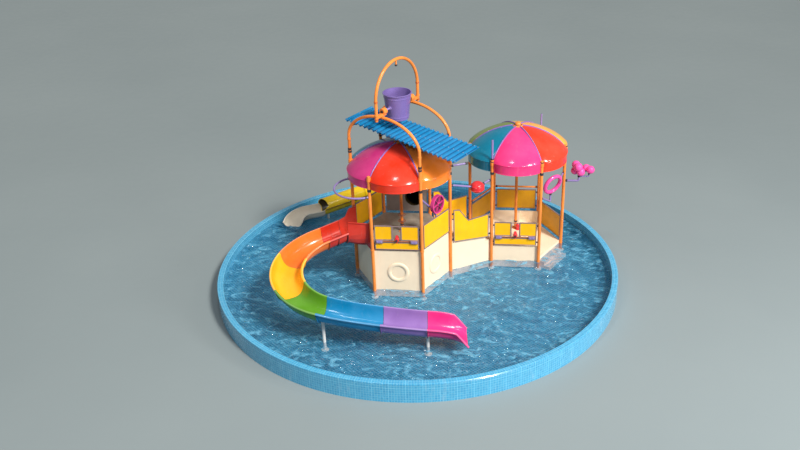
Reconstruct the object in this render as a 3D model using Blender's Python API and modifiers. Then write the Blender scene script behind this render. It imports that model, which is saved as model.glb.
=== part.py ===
"""Water slide tower: a round splash pool with two domed hexagonal towers, a bridge, an open
curved flume, a closed tube slide, a tipping bucket over a splash roof and spray toys.

Metres, +Z up. The origin is on the ground under the middle of the round pool. The towers'
front sides are parallel to X. Blender 4.5: blender --background --python part.py
"""
from math import atan2, cos, hypot, pi, radians, sin, sqrt

import bmesh
import bpy
from mathutils import Matrix, Vector

# The gap that is kept between pieces that touch
SEAT = 0.0003

# Pool
POOL_RADIUS = 7.5
POOL_WALL = 0.22
POOL_HEIGHT = 0.72
POOL_FLOOR = 0.11
POOL_SIDES = 72

# Towers: a hexagon of posts round each centre, joined by a bridge that points 30 degrees left of +X
POST_CIRCLE = 1.8
BRIDGE_LENGTH = 1.73
BRIDGE_ANGLE = radians(30)
MAIN_X = -0.49
MAIN_Y = -0.01

# Decks, stairs and the cream base walls
MAIN_DECK = 2.07
SECOND_DECK = 1.06
BRIDGE_DECK = 1.56
LANDING = 0.54
LANDING_EDGE = 0.16
DECK_THICK = 0.08
BASE_WALL = 0.05
TREAD = 0.28
ENTRY_HEIGHTS = (0.38, 0.23)
ENTRY_TREAD = 0.24
ENTRY_WIDTH = 1.30
ENTRY_SHIFT = 0.10

# Posts
POST_RADIUS = 0.06
PLATE_RADIUS = 0.13
PLATE_THICK = 0.025
MAIN_CROWN = 0.18
SECOND_CROWN = 0.10
RISER_TOPS = {1: 5.44, 4: 5.27}
COLUMN_RADIUS = 0.055
ROUND_SIDES = 12

# Barriers between the posts
BARRIER_HEIGHT = 1.04
LOW_BARRIER_HEIGHT = 0.94
BARRIER_GAP = 0.045
BARRIER_THICK = 0.045
BARRIER_FRAME = 0.05
BARRIER_RECESS = 0.010
BARRIER_CLEAR = 0.08
BRIDGE_GAP = 0.08
BRIDGE_TOP_HIGH = 2.96
BRIDGE_TOP_LOW = 2.48
BRIDGE_DROP = 0.13
BRIDGE_KNEES = ((0.42, 0.06), (0.17, 0.03))
BRIDGE_TAB_DROP = 0.15
TAB_HEIGHT = 0.06
TAB_THICK = 0.02
TAB_OVERLAP = 0.02
TAB_SHARES = (0.14, 0.86)
RAIL_Z = 2.12
RAIL_RADIUS = 0.035
STRIP_HEIGHT = 0.30
NOTCH_WIDTH = 0.32
TUBE_BAR_RADIUS = 0.03
TUBE_BOX_LENGTH = 0.30
TUBE_BOX_HEIGHT = 0.13
TUBE_BOX_DEPTH = 0.14
GUN_RADIUS = 0.05
GUN_BACK = 0.14
GUN_FRONT = 0.16
GUN_SUNK = 0.012
BAR_END = 0.02
BAR_PROUD = 0.006

# Domes
DOME_SHELL = 0.012
DOME_BULGE = 0.19
DOME_RISE = 0.86
MAIN_BAND = 0.30
SECOND_BAND = 0.36
DOME_TUCK = 0.02
DOME_VALLEY = POST_CIRCLE - POST_RADIUS + 0.02
DOME_COLUMNS = 36
DOME_ROWS = (-1, -0.5, 0, 0.12, 0.26, 0.42, 0.58, 0.74, 0.88)
NOTCH_SIDES = 14
MAIN_SPRING = 4.85
SECOND_SPRING = 4.55
DOME_CROWN = 0.14

# Open flume: a straight start, then three bends to the left of a person going down
FLUME_START = 0.75
FLUME_STRAIGHT = 1.60
FLUME_BENDS = ((1.84, radians(139)), (5.9, radians(10)), (25.0, radians(8.0)))
FLUME_SEAMS = (1.46, 2.98, 4.62, 6.11, 8.14, 9.64, 10.95)
FLUME_RIM = 2.96
FLUME_FALL = 0.205
FLUME_EASE = 0.0052
FLUME_HALF = 0.50
FLUME_DEPTH = 0.50
FLUME_LIP = 0.05
FLUME_SHELL = 0.014
FLUME_FLANGE = 0.045
FLANGE_LENGTH = 0.03
FLUME_STEP = 0.38
EXIT_START = FLUME_SEAMS[5] + 0.25
EXIT_DROP = 0.20
EXIT_WALL = 0.12
EXIT_CUT = 0.40
HOOD_HALF = 0.72
HOOD_TOP = 3.10
HOOD_RISE = 0.14
HOOD_FLOOR = 0.02
HOOD_FLANGE = 0.06
HOOD_FAR_END = (0.25, 0.45)
HOOD_SQUARE = 0.30
TROUGH_SQUARE = 0.62
LIP_DEEP = 0.025
SUPPORT_RADIUS = 0.055
SUPPORT_SEAMS = (FLUME_SEAMS[3], FLUME_SEAMS[5])

# Closed tube slide
TUBE_RADIUS = 0.36
TUBE_SHELL = 0.014
TUBE_SIDES = 20
TUBE_ENTRY_X = 0.28
TUBE_ENTRY_Z = 0.64
TUBE_STEP = 0.50
TUBE_COLLAR = 0.06
TUBE_STRAIGHT = 1.15
TUBE_BEND = 1.9
TUBE_BEND_ANGLE = radians(105)
TUBE_RUN = 1.92
TUBE_EXIT_Z = 0.93
RUNOUT_STRAIGHT = 0.55
RUNOUT_BEND = 0.75
RUNOUT_ANGLE = radians(75)
RUNOUT_FALL = 0.16
RUNOUT_GRIP = 0.12
RUNOUT_FIT = 1.0005
RUNOUT_WIDER = 0.028
RUNOUT_LIP = 0.04
RUNOUT_CUT = 0.45
TUBE_SUPPORTS = (3.05, 6.30)

# Arches, splash roof and tipping bucket
ARCH_RADIUS = 0.055
LUG_RADIUS = 0.045
ARCH_FOOT = 5.34
ARCH_SPRING = 5.90
ARCH_TOP = 6.90
HOOP_HALF = 1.20
HOOP_SPRING = 7.53
BEARING_Z = 7.10
BEARING_RADIUS = 0.12
BEARING_HALF = 0.09
BEARING_Y = 0.80
AXLE_RADIUS = 0.035
AXLE_PLAY = 0.0005
AXLE_SIDES = 24
ROOF_LEFT = -1.81
ROOF_RIGHT = 2.93
ROOF_HIGH = 6.40
ROOF_LOW = 5.835
ROOF_HALF = 0.77
ROOF_SHEET = 0.010
ROOF_WAVE = 0.030
ROOF_PITCH = 0.20
BUCKET_TOP = 0.49
BUCKET_BOTTOM = 0.385
BUCKET_ABOVE = 0.45
BUCKET_BELOW = 0.50
BUCKET_WALL = 0.014
BUCKET_LIP = 0.025

# Spray toys
PIPE_RADIUS = 0.035
RING_PIPE_Z = 4.23
RING_PIPE_RADIUS = 0.95
BALL_RADIUS = 0.26
BALL_FLAT = 0.87
BALL_SHARE = 0.647
BALL_Z = 3.69
BALL_PIPE_Z = (3.98, 3.86)
WHEEL_SHARE = 0.55
WHEEL_RADIUS = 0.35
WHEEL_HALF = 0.07
WHEEL_HUB = 0.07
WHEEL_RIM = 0.05
WHEEL_BLADES = 6
WHEEL_ABOVE = 1.52
WHEEL_WEB = 0.014
WHEEL_END_PLAY = 0.005
WHEEL_STAND = 0.02
SHAFT_RADIUS = 0.02
BRACE_RADIUS = 0.032
BRACE_ABOVE = (2.11, 1.23)
SPRAY_RING = 0.36
SPRAY_TUBE = 0.075
SPRAY_Z = 3.35
SPRAY_TURN = radians(-49)
SPRAY_LEAN = radians(16)
SPRAY_ELBOW = 2.60
SPRAY_LOWER = 3.08
SPRAY_UPPER = 3.50
FLOWER_Z = 3.16
FLOWER_STEM = 0.56
FLOWER_BRANCH = 0.93
ARM_Z = 4.77
ARM_LENGTH = 0.62
ARM_TURN = radians(25)

scene = bpy.context.scene
for old in list(bpy.data.objects):
    bpy.data.objects.remove(old, do_unlink=True)

parts = bpy.data.collections.new("water_slide_tower")
cutters = bpy.data.collections.new("cutters")
for group in (parts, cutters):
    scene.collection.children.link(group)

# Directions and places on the plan
MAIN = Vector((MAIN_X, MAIN_Y))
ACROSS = BRIDGE_ANGLE - pi / 3
POST_ANGLES = [radians(60 * k - 180) for k in range(6)]
SIDE_HALF = POST_CIRCLE / 2
SIDE_AWAY = POST_CIRCLE * cos(pi / 6)
TOWER_GAP = 2 * SIDE_AWAY + BRIDGE_LENGTH
POOL_INNER = POOL_RADIUS - POOL_WALL
FLOOR_TOP = POOL_FLOOR + SEAT
BASE_FOOT = FLOOR_TOP + PLATE_THICK + SEAT
BASE_CIRCLE = POST_CIRCLE - POST_RADIUS - SEAT
BASE_AWAY = BASE_CIRCLE * cos(pi / 6)
RUNOUT_DEPTH = (TUBE_RADIUS + SEAT) * RUNOUT_FIT
RUNOUT_HALF = RUNOUT_DEPTH + RUNOUT_WIDER


def heading(angle):
    return Vector((cos(angle), sin(angle)))


SECOND = MAIN + heading(BRIDGE_ANGLE) * TOWER_GAP
MAIN_POSTS = [MAIN + heading(angle) * POST_CIRCLE for angle in POST_ANGLES]
SECOND_POSTS = [SECOND + heading(angle + pi / 3) * POST_CIRCLE for angle in POST_ANGLES]

# Colours, as the photo shows them
CREAM = (0.86, 0.74, 0.58)
WHITE = (0.80, 0.80, 0.78)
ORANGE = (0.84, 0.25, 0.05)
YELLOW = (0.93, 0.60, 0.02)
RED = (0.72, 0.06, 0.03)
GREEN = (0.22, 0.42, 0.05)
BLUE = (0.01, 0.24, 0.56)
PURPLE = (0.27, 0.20, 0.52)
PINK = (0.78, 0.06, 0.30)
TEAL = (0.01, 0.30, 0.45)
POOL_BLUE = (0.10, 0.42, 0.62)


# Making meshes

def new_mesh(name, bm):
    bmesh.ops.recalc_face_normals(bm, faces=bm.faces)
    mesh = bpy.data.meshes.new(name)
    bm.to_mesh(mesh)
    bm.free()
    return mesh


def box_mesh(size, centre=(0, 0, 0)):
    bm = bmesh.new()
    bmesh.ops.create_cube(bm, size=1.0, matrix=Matrix.Translation(centre) @ Matrix.Diagonal((*size, 1)))
    return new_mesh("box", bm)


def rod_mesh(start, end, radius, sides=ROUND_SIDES):
    """A straight round bar between two points."""
    start = Vector(start)
    run = Vector(end) - start
    turn = run.to_track_quat("Z", "Y").to_matrix().to_4x4()
    bm = bmesh.new()
    bmesh.ops.create_cone(bm, cap_ends=True, segments=sides, radius1=radius, radius2=radius,
                          depth=run.length, matrix=Matrix.Translation(start + run / 2) @ turn)
    return new_mesh("rod", bm)


def ball_mesh(radius, centre, across=16, up=10):
    bm = bmesh.new()
    bmesh.ops.create_uvsphere(bm, u_segments=across, v_segments=up, radius=radius,
                              matrix=Matrix.Translation(centre))
    return new_mesh("ball", bm)


def curve_to_mesh(curve):
    """The mesh of a curve, with its loose caps welded on."""
    guide = bpy.data.objects.new("guide", curve)
    scene.collection.objects.link(guide)
    bpy.context.view_layer.update()
    mesh = bpy.data.meshes.new_from_object(guide.evaluated_get(bpy.context.evaluated_depsgraph_get()))
    bpy.data.objects.remove(guide, do_unlink=True)
    bm = bmesh.new()
    bm.from_mesh(mesh)
    bmesh.ops.remove_doubles(bm, verts=bm.verts, dist=0.00005)
    bpy.data.meshes.remove(mesh)
    return bm


def pipe_mesh(points, radius, closed=False):
    """A round pipe along points in space."""
    curve = bpy.data.curves.new("pipe", "CURVE")
    curve.dimensions = "3D"
    curve.bevel_depth = radius
    curve.bevel_resolution = 3
    curve.use_fill_caps = not closed
    spline = curve.splines.new("POLY")
    spline.points.add(len(points) - 1)
    for point, place in zip(spline.points, points):
        point.co = (*place, 1)
    spline.use_cyclic_u = closed
    return new_mesh("pipe", curve_to_mesh(curve))


def plate_mesh(outline, thickness):
    """A flat plate in the local XY plane, its thickness centred on Z."""
    curve = bpy.data.curves.new("plate", "CURVE")
    curve.dimensions = "2D"
    curve.fill_mode = "BOTH"
    curve.extrude = thickness / 2
    spline = curve.splines.new("POLY")
    spline.points.add(len(outline) - 1)
    for point, (x, y) in zip(spline.points, outline):
        point.co = (x, y, 0, 1)
    spline.use_cyclic_u = True
    bm = curve_to_mesh(curve)
    bmesh.ops.dissolve_limit(bm, angle_limit=radians(1), verts=bm.verts, edges=bm.edges)
    return new_mesh("plate", bm)


def loft_mesh(rings, half_ring):
    """A channel through rings of points; each ring runs round the outer side and back along the
    inner side, and its two halves have half_ring points each."""
    bm = bmesh.new()
    rows = [[bm.verts.new(point) for point in ring] for ring in rings]
    count = len(rings[0])
    for row, nearby in zip(rows, rows[1:]):
        for k in range(count):
            after = (k + 1) % count
            bm.faces.new((row[k], row[after], nearby[after], nearby[k]))
    for row in (rows[0], rows[-1]):
        for k in range(half_ring - 1):
            bm.faces.new((row[k], row[k + 1], row[count - k - 2], row[count - k - 1]))
    return new_mesh("loft", bm)


# Making objects

def paint(obj, colour, roughness):
    mat = bpy.data.materials.new(obj.name)
    mat.use_nodes = True
    shader = mat.node_tree.nodes["Principled BSDF"]
    shader.inputs["Base Color"].default_value = (*colour, 1)
    shader.inputs["Roughness"].default_value = roughness
    mat.diffuse_color = (*colour, 1)
    obj.data.materials.clear()
    obj.data.materials.append(mat)


def add_part(name, mesh, colour, location=(0, 0, 0), turn=None, smooth=False, roughness=0.3):
    obj = bpy.data.objects.new(name, mesh)
    obj.location = location
    if turn is not None:
        obj.rotation_euler = turn.to_euler()
    parts.objects.link(obj)
    paint(obj, colour, roughness)
    if smooth:
        mesh.shade_smooth()
        mesh.set_sharp_from_angle(angle=radians(40))
    return obj


def combine(obj, mesh, operation):
    """Join mesh to obj, or cut it out; the mesh is in obj's own frame."""
    tool = bpy.data.objects.new(f"{obj.name}_{operation.lower()}_{len(obj.modifiers)}", mesh)
    tool.location = obj.location
    tool.rotation_euler = obj.rotation_euler
    tool.hide_render = True
    tool.display_type = "WIRE"
    cutters.objects.link(tool)
    change = obj.modifiers.new(tool.name, "BOOLEAN")
    change.operation = operation
    change.object = tool
    change.solver = "EXACT"


def turned_mesh(profile, closed=False):
    bm = bmesh.new()
    verts = [bm.verts.new((radius, 0, z)) for radius, z in profile]
    pairs = list(zip(verts, verts[1:]))
    if closed:
        pairs.append((verts[-1], verts[0]))
    for pair in pairs:
        bm.edges.new(pair)
    mesh = bpy.data.meshes.new("profile")
    bm.to_mesh(mesh)
    bm.free()
    return mesh


def add_turned(name, profile, colour, location, sides=ROUND_SIDES, closed=False, turn=None):
    """A turned piece; its profile runs down the outer side, top to bottom."""
    obj = add_part(name, turned_mesh(profile, closed), colour, location, turn)
    screw = obj.modifiers.new("turn", "SCREW")
    screw.steps = sides
    screw.render_steps = sides
    screw.use_merge_vertices = True
    screw.merge_threshold = 0.0001
    screw.use_smooth_shade = False
    return obj


def bore_radius(shaft):
    """The corner radius of a bore whose flats clear a turning shaft's corners by the play."""
    return (shaft + AXLE_PLAY) / cos(pi / AXLE_SIDES)


def upright(angle):
    """Local X along the plan direction, local Y up and local Z level, to the direction's right."""
    along = Vector((cos(angle), sin(angle), 0))
    up = Vector((0, 0, 1))
    return Matrix((along, up, along.cross(up))).transposed()


def plan_angle(run):
    return atan2(run.y, run.x)


# Pool

def build_pool():
    floor = rod_mesh((0, 0, 0), (0, 0, POOL_FLOOR), POOL_INNER - SEAT, POOL_SIDES)
    add_part("pool_floor", floor, POOL_BLUE)
    wall = ((POOL_RADIUS, POOL_HEIGHT), (POOL_RADIUS, 0), (POOL_INNER, 0), (POOL_INNER, POOL_HEIGHT))
    add_turned("pool_wall", wall, POOL_BLUE, (0, 0, 0), POOL_SIDES, closed=True)


# Posts and centre columns

def post_profile(foot, top, radius=POST_RADIUS):
    """A post and its base plate, from the top down."""
    plate = foot + PLATE_THICK
    return [(0, top), (radius, top), (radius, plate), (PLATE_RADIUS, plate), (PLATE_RADIUS, foot), (0, foot)]


def build_posts():
    """Four main posts carry the arches; two second posts have a spray pipe on top."""
    for number, place in enumerate(MAIN_POSTS, start=1):
        arch_post = number in (1, 3, 4, 6)
        top = ARCH_FOOT if arch_post else MAIN_SPRING + MAIN_CROWN
        add_turned(f"main_post_{number}", post_profile(FLOOR_TOP, top), ORANGE, (*place, 0))
    for number, place in enumerate(SECOND_POSTS, start=1):
        top = SECOND_SPRING + SECOND_CROWN
        post = add_turned(f"second_post_{number}", post_profile(FLOOR_TOP, top), ORANGE, (*place, 0))
        if number in RISER_TOPS:
            riser = rod_mesh((0, 0, top - 0.05), (0, 0, RISER_TOPS[number]), PIPE_RADIUS)
            combine(post, riser, "UNION")
    for name, place, deck, spring in (("main", MAIN, MAIN_DECK, MAIN_SPRING),
                                      ("second", SECOND, SECOND_DECK, SECOND_SPRING)):
        top = spring + DOME_RISE - DOME_SHELL - SEAT
        profile = post_profile(deck + SEAT, top, COLUMN_RADIUS)
        add_turned(f"{name}_column", profile, ORANGE, (*place, 0))


# Cream bases with their decks

def hexagon(circle):
    return [tuple(heading(angle) * circle) for angle in POST_ANGLES]


def add_base(name, place, deck):
    height = deck - BASE_FOOT
    return add_part(name, plate_mesh(hexagon(BASE_CIRCLE), height), CREAM, (*place, BASE_FOOT + height / 2))


def cut_space(base, outline, low, high):
    """Cut the space over an outline, between two heights, out of a base."""
    space = plate_mesh(outline, high - low)
    space.transform(Matrix.Translation((0, 0, (low + high) / 2 - base.location.z)))
    combine(base, space, "DIFFERENCE")


def build_tower_bases():
    """The second tower's right half is a landing near the water, with a step up to its deck."""
    inner = BASE_CIRCLE - BASE_WALL / cos(pi / 6)
    main = add_base("main_base", MAIN, MAIN_DECK)
    cut_space(main, hexagon(inner), 0, MAIN_DECK - DECK_THICK)
    second = add_base("second_base", SECOND, SECOND_DECK)
    cut_space(second, hexagon(inner), 0, LANDING - DECK_THICK)
    room = inner - 0.004
    side = room * sin(pi / 3)
    edge = LANDING_EDGE - DECK_THICK
    left = [(edge, -side), (edge, side), (-room / 2, side), (-room, 0), (-room / 2, -side)]
    cut_space(second, left, BASE_FOOT, SECOND_DECK - DECK_THICK)
    middle = (LANDING + SECOND_DECK) / 2
    above = SECOND_DECK + 0.1
    step_edge = LANDING_EDGE + TREAD
    stairs = [(LANDING_EDGE, above), (LANDING_EDGE, middle), (step_edge, middle), (step_edge, LANDING),
              (POST_CIRCLE, LANDING), (POST_CIRCLE, above)]
    space = plate_mesh(stairs, 2 * (BASE_AWAY - BASE_WALL))
    space.transform(Matrix.Translation((0, 0, -second.location.z)) @ Matrix.Rotation(pi / 2, 4, "X"))
    combine(second, space, "DIFFERENCE")


def stair_profile(heights, length, tread):
    """The walking line of the bridge: equal treads from both ends to the level middle."""
    x = 0.0
    points = []
    down = heights.index(min(heights, key=lambda z: abs(z - BRIDGE_DECK)))
    for step, z in enumerate(heights):
        run = tread if step != down else length - tread * (len(heights) - 1)
        points += [(x, z), (x + run, z)]
        x += run
    return points


def build_bridge_base():
    start = BASE_AWAY + SEAT
    length = TOWER_GAP - 2 * start
    half_width = SIDE_HALF - POST_RADIUS - SEAT
    upper = (MAIN_DECK + BRIDGE_DECK) / 2
    lower = (BRIDGE_DECK + SECOND_DECK) / 2
    line = stair_profile([upper, BRIDGE_DECK, lower], length, TREAD)
    outline = [(0, BASE_FOOT), (length, BASE_FOOT)] + line[::-1]
    corner = MAIN + heading(BRIDGE_ANGLE) * start
    base = add_part("bridge_base", plate_mesh(outline, 2 * half_width), CREAM, (*corner, 0),
                    upright(BRIDGE_ANGLE))
    beyond = 0.1
    under = [(x, z - DECK_THICK) for x, z in line]
    under = [(-beyond, under[0][1])] + under[1:-1] + [(length + beyond, under[-1][1])]
    shifted = []
    for x, z in under:
        shifted.append((x - DECK_THICK if 0 < x < length else x, z))
    hollow = [(-beyond, 0), (length + beyond, 0)] + shifted[::-1]
    combine(base, plate_mesh(hollow, 2 * (half_width - BASE_WALL)), "DIFFERENCE")


def build_entry_steps():
    """Steps down from the second tower's landing into the pool."""
    count = len(ENTRY_HEIGHTS)
    outline = [(0, FLOOR_TOP), (count * ENTRY_TREAD, FLOOR_TOP)]
    for step in range(count, 0, -1):
        z = ENTRY_HEIGHTS[step - 1]
        outline += [(step * ENTRY_TREAD, z), ((step - 1) * ENTRY_TREAD, z)]
    corner = SECOND + heading(ACROSS) * (BASE_AWAY + SEAT) + heading(ACROSS - pi / 2) * ENTRY_SHIFT
    add_part("entry_steps", plate_mesh(outline, ENTRY_WIDTH), CREAM, (*corner, 0), upright(ACROSS))


# Barriers

def framed(mesh):
    """Sink both faces of a plate inside a frame."""
    bm = bmesh.new()
    bm.from_mesh(mesh)
    faces = [face for face in bm.faces if abs(face.normal.z) > 0.99]
    bmesh.ops.inset_individual(bm, faces=faces, thickness=BARRIER_FRAME, depth=-BARRIER_RECESS)
    bm.to_mesh(mesh)
    bm.free()
    return mesh


def post_line(first, second, gap=BARRIER_GAP):
    """Where a panel between two posts starts, its turn and its length."""
    run = second - first
    away = POST_RADIUS + SEAT + gap
    return first + run.normalized() * away, upright(plan_angle(run)), run.length - 2 * away


def add_tabs(barrier, length, heights, gap=BARRIER_GAP):
    """Short tabs from a panel's two ends to the posts, at pairs of heights."""
    size = (gap + TAB_OVERLAP, TAB_HEIGHT, TAB_THICK)
    middle = (gap - TAB_OVERLAP) / 2
    for left, right in heights:
        combine(barrier, box_mesh(size, (-middle, left, 0)), "UNION")
        combine(barrier, box_mesh(size, (length + middle, right, 0)), "UNION")


def build_barrier(name, first, second, deck, top=BARRIER_HEIGHT):
    start, turn, length = post_line(first, second)
    height = top - BARRIER_CLEAR
    outline = [(0, 0), (length, 0), (length, height), (0, height)]
    place = (*start, deck + BARRIER_CLEAR)
    barrier = add_part(name, framed(plate_mesh(outline, BARRIER_THICK)), YELLOW, place, turn)
    add_tabs(barrier, length, [(share * height, share * height) for share in TAB_SHARES])
    return barrier


def build_play_barrier(name, first, second, deck):
    """Two upper plates with a gap for the water gun, a level spray tube and a lower strip."""
    start, turn, length = post_line(first, second)
    height = BARRIER_HEIGHT - BARRIER_CLEAR
    left = (length - NOTCH_WIDTH) / 2
    right = (length + NOTCH_WIDTH) / 2
    sill = STRIP_HEIGHT + 3 * TUBE_BAR_RADIUS
    outline = [(0, 0), (length, 0), (length, height), (right, height), (right, sill), (left, sill),
               (left, height), (0, height)]
    place = (*start, deck + BARRIER_CLEAR)
    barrier = add_part(name, framed(plate_mesh(outline, BARRIER_THICK)), YELLOW, place, turn)
    bar_y = STRIP_HEIGHT + 1.5 * TUBE_BAR_RADIUS
    proud = BARRIER_THICK / 2 + BAR_PROUD
    bar = rod_mesh((BAR_END, bar_y, proud), (length - BAR_END, bar_y, proud), TUBE_BAR_RADIUS, 8)
    combine(barrier, bar, "UNION")
    for x in (BAR_END + TUBE_BOX_LENGTH / 2, length - BAR_END - TUBE_BOX_LENGTH / 2):
        size = (TUBE_BOX_LENGTH, TUBE_BOX_HEIGHT, TUBE_BOX_DEPTH)
        combine(barrier, box_mesh(size, (x, bar_y, proud)), "UNION")
    gun_y = sill + GUN_RADIUS - GUN_SUNK
    gun = rod_mesh((length / 2, gun_y, -GUN_BACK), (length / 2, gun_y, GUN_FRONT), GUN_RADIUS, 10)
    combine(barrier, gun, "UNION")
    add_tabs(barrier, length, [(share * height, share * height) for share in TAB_SHARES])


def build_bridge_barrier(name, first, second):
    """A panel that follows the fall from the main deck to the second deck."""
    start, turn, length = post_line(first, second, BRIDGE_GAP)
    low = BRIDGE_DECK + BARRIER_CLEAR
    (low_share, low_drop), (high_share, high_drop) = BRIDGE_KNEES
    top = [(length, BRIDGE_TOP_LOW), (low_share * length, BRIDGE_TOP_LOW - low_drop),
           (high_share * length, BRIDGE_TOP_HIGH - high_drop), (0, BRIDGE_TOP_HIGH)]
    outline = [(0, low), (length, low - BRIDGE_DROP)] + top
    barrier = add_part(name, framed(plate_mesh(outline, BARRIER_THICK)), YELLOW, (*start, 0), turn)
    lower = low + 2 * TAB_HEIGHT
    upper = (BRIDGE_TOP_HIGH - BRIDGE_TAB_DROP, BRIDGE_TOP_LOW - BRIDGE_TAB_DROP)
    heights = ((lower, lower - BRIDGE_DROP), upper)
    add_tabs(barrier, length, heights, BRIDGE_GAP)


def build_rail(name, first, second):
    """A level handrail over a low barrier, from post to post."""
    near = (second - first).normalized() * (POST_RADIUS + SEAT)
    rail = rod_mesh((*(first + near), RAIL_Z), (*(second - near), RAIL_Z), RAIL_RADIUS)
    add_part(name, rail, ORANGE, smooth=True)


def build_barriers():
    p1, p2, p3, p4, p5, p6 = MAIN_POSTS
    q1, q2, q3, q4, q5, q6 = SECOND_POSTS
    build_play_barrier("main_play_barrier", p2, p3, MAIN_DECK)
    build_barrier("main_barrier_right", p3, p4, MAIN_DECK)
    build_barrier("main_barrier_left", p6, p1, MAIN_DECK)
    build_tube_barrier("main_barrier_back", p5, p6)
    build_play_barrier("second_play_barrier", q1, q2, SECOND_DECK)
    build_barrier("second_barrier_right", q3, q4, LANDING)
    build_barrier("second_barrier_back", q4, q5, SECOND_DECK, LOW_BARRIER_HEIGHT)
    build_barrier("second_barrier_left", q5, q6, SECOND_DECK, LOW_BARRIER_HEIGHT)
    build_rail("second_rail_back", q4, q5)
    build_rail("second_rail_left", q5, q6)
    build_bridge_barrier("bridge_barrier_front", p4, q1)
    build_bridge_barrier("bridge_barrier_back", p5, q6)


# Domes: six petals with a plumb band, which meet in valleys at the posts

def dome_point(angle, lift, spring, band):
    """A point of a dome; lift runs from -1 at the band's foot to 0 at its top and 1 at the crown."""
    bulge = DOME_BULGE * abs(sin(3 * angle)) ** 0.5
    if lift < 0:
        return DOME_VALLEY + bulge + lift * DOME_TUCK, spring + lift * band
    turn = lift * pi / 2
    radius = (DOME_VALLEY + bulge * cos(turn) ** 2) * cos(turn)
    return radius, spring + DOME_RISE * sin(turn) ** 1.6


def build_dome(name, place, spring, band, colour):
    bm = bmesh.new()
    rows = []
    for lift in DOME_ROWS:
        row = []
        for k in range(DOME_COLUMNS):
            angle = 2 * pi * k / DOME_COLUMNS
            radius, z = dome_point(angle, lift, spring, band)
            row.append(bm.verts.new((radius * cos(angle), radius * sin(angle), z)))
        rows.append(row)
    crown = [bm.verts.new((DOME_CROWN * cos(2 * pi * k / DOME_COLUMNS),
                           DOME_CROWN * sin(2 * pi * k / DOME_COLUMNS), spring + DOME_RISE))
             for k in range(DOME_COLUMNS)]
    rows.append(crown)
    for row, nearby in zip(rows, rows[1:]):
        for k in range(DOME_COLUMNS):
            after = (k + 1) % DOME_COLUMNS
            bm.faces.new((row[k], row[after], nearby[after], nearby[k]))
    bm.faces.new(crown)
    dome = add_part(name, new_mesh(name, bm), colour, (*place, 0), smooth=True)
    shell = dome.modifiers.new("shell", "SOLIDIFY")
    shell.thickness = DOME_SHELL
    shell.offset = -1
    reach = (POST_RADIUS + SEAT) / cos(pi / NOTCH_SIDES)
    for angle in POST_ANGLES:
        place = heading(angle) * POST_CIRCLE
        notch = rod_mesh((*place, spring - 1), (*place, spring + 1), reach, NOTCH_SIDES)
        combine(dome, notch, "DIFFERENCE")
    return dome


# Troughs: the open flume and the run-out of the closed slide

class Route:
    """A level line of straights and bends on the plan, measured by its length."""

    def __init__(self, start, angle):
        self.pieces = [(0.0, Vector(start), angle, 0.0)]
        self.length = 0.0

    def straight(self, length):
        return self.bend(length, 0.0)

    def bend(self, length, turn):
        """A bend to the left of turn radians over a length, or a straight where turn is 0."""
        begin, place, angle, _ = self.pieces[-1]
        self.pieces[-1] = (begin, place, angle, turn / length)
        self.length += length
        self.pieces.append((self.length, *self.at(self.length), 0.0))
        return self

    def at(self, s):
        """The place and the heading at a distance along the line."""
        begin, place, angle, curl = [piece for piece in self.pieces if piece[0] <= s + 1e-9][-1]
        run = s - begin
        if curl == 0:
            return place + heading(angle) * run, angle
        after = angle + curl * run
        step = Vector((sin(after) - sin(angle), cos(angle) - cos(after))) / curl
        return place + step, after


def trough_half(half, depth, lip, square):
    """The right half of a trough's inner line, from its lip to the middle of its floor; a lower
    square number makes its sides plumber and its floor flatter."""
    points = [(half + lip, -LIP_DEEP), (half + lip, 0), (half, 0)]
    for part in range(1, 6):
        turn = part / 5 * pi / 2
        points.append((half * 0.98 * cos(turn) ** square, -depth * sin(turn) ** 1.1))
    return points


def trough_ring(half, depth, lip, shell, height, flange=0.0, square=TROUGH_SQUARE, far_lift=1.0):
    """The closed outline of a trough: a lower height squashes it and a higher one lifts its lips,
    the right one by the share far_lift."""
    right = trough_half(half, depth, lip, square)
    line = [(-u, v) for u, v in right[:-1]] + right[::-1]
    outer = []
    for k, (u, v) in enumerate(line):
        before = Vector(line[max(k - 1, 0)])
        after = Vector(line[min(k + 1, len(line) - 1)])
        away = (after - before).normalized()
        extra = flange if 3 <= k <= len(line) - 4 else 0.0
        outer.append((u + away.y * (shell + extra), v - away.x * (shell + extra)))
    squash = min(height / depth, 1)
    lift = max(height - depth, 0)
    ring = []
    for u, v in outer + line[::-1]:
        raised = lift if v > -2 * LIP_DEEP else 0.0
        if u > 0:
            raised *= far_lift
        ring.append((u, -depth + (v + depth) * squash + raised))
    return ring, len(line)


def set_ring(ring, place, angle, z):
    """Stand a trough's outline across the route."""
    right = Vector((sin(angle), -cos(angle)))
    return [(*(place + right * u), z + v) for u, v in ring]


FLUME = Route((MAIN_POSTS[0] + MAIN_POSTS[1]) / 2, radians(-150)).straight(FLUME_STRAIGHT)
for bend_radius, bend_turn in FLUME_BENDS:
    FLUME.bend(bend_radius * bend_turn, bend_turn)


def flume_rim(s):
    """The height of the flume's lips, with the last dip to the water."""
    z = FLUME_RIM - FLUME_FALL * s + FLUME_EASE * s * s
    if s > EXIT_START:
        share = (s - EXIT_START) / (FLUME_SEAMS[6] - EXIT_START)
        z -= EXIT_DROP * share * share
    return z


def flume_wall(s):
    """The height of the flume's sides, cut down at the exit."""
    cut = FLUME_SEAMS[6] - EXIT_CUT
    if s > cut:
        return FLUME_DEPTH - (FLUME_DEPTH - EXIT_WALL) * (s - cut) / EXIT_CUT
    return FLUME_DEPTH


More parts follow.
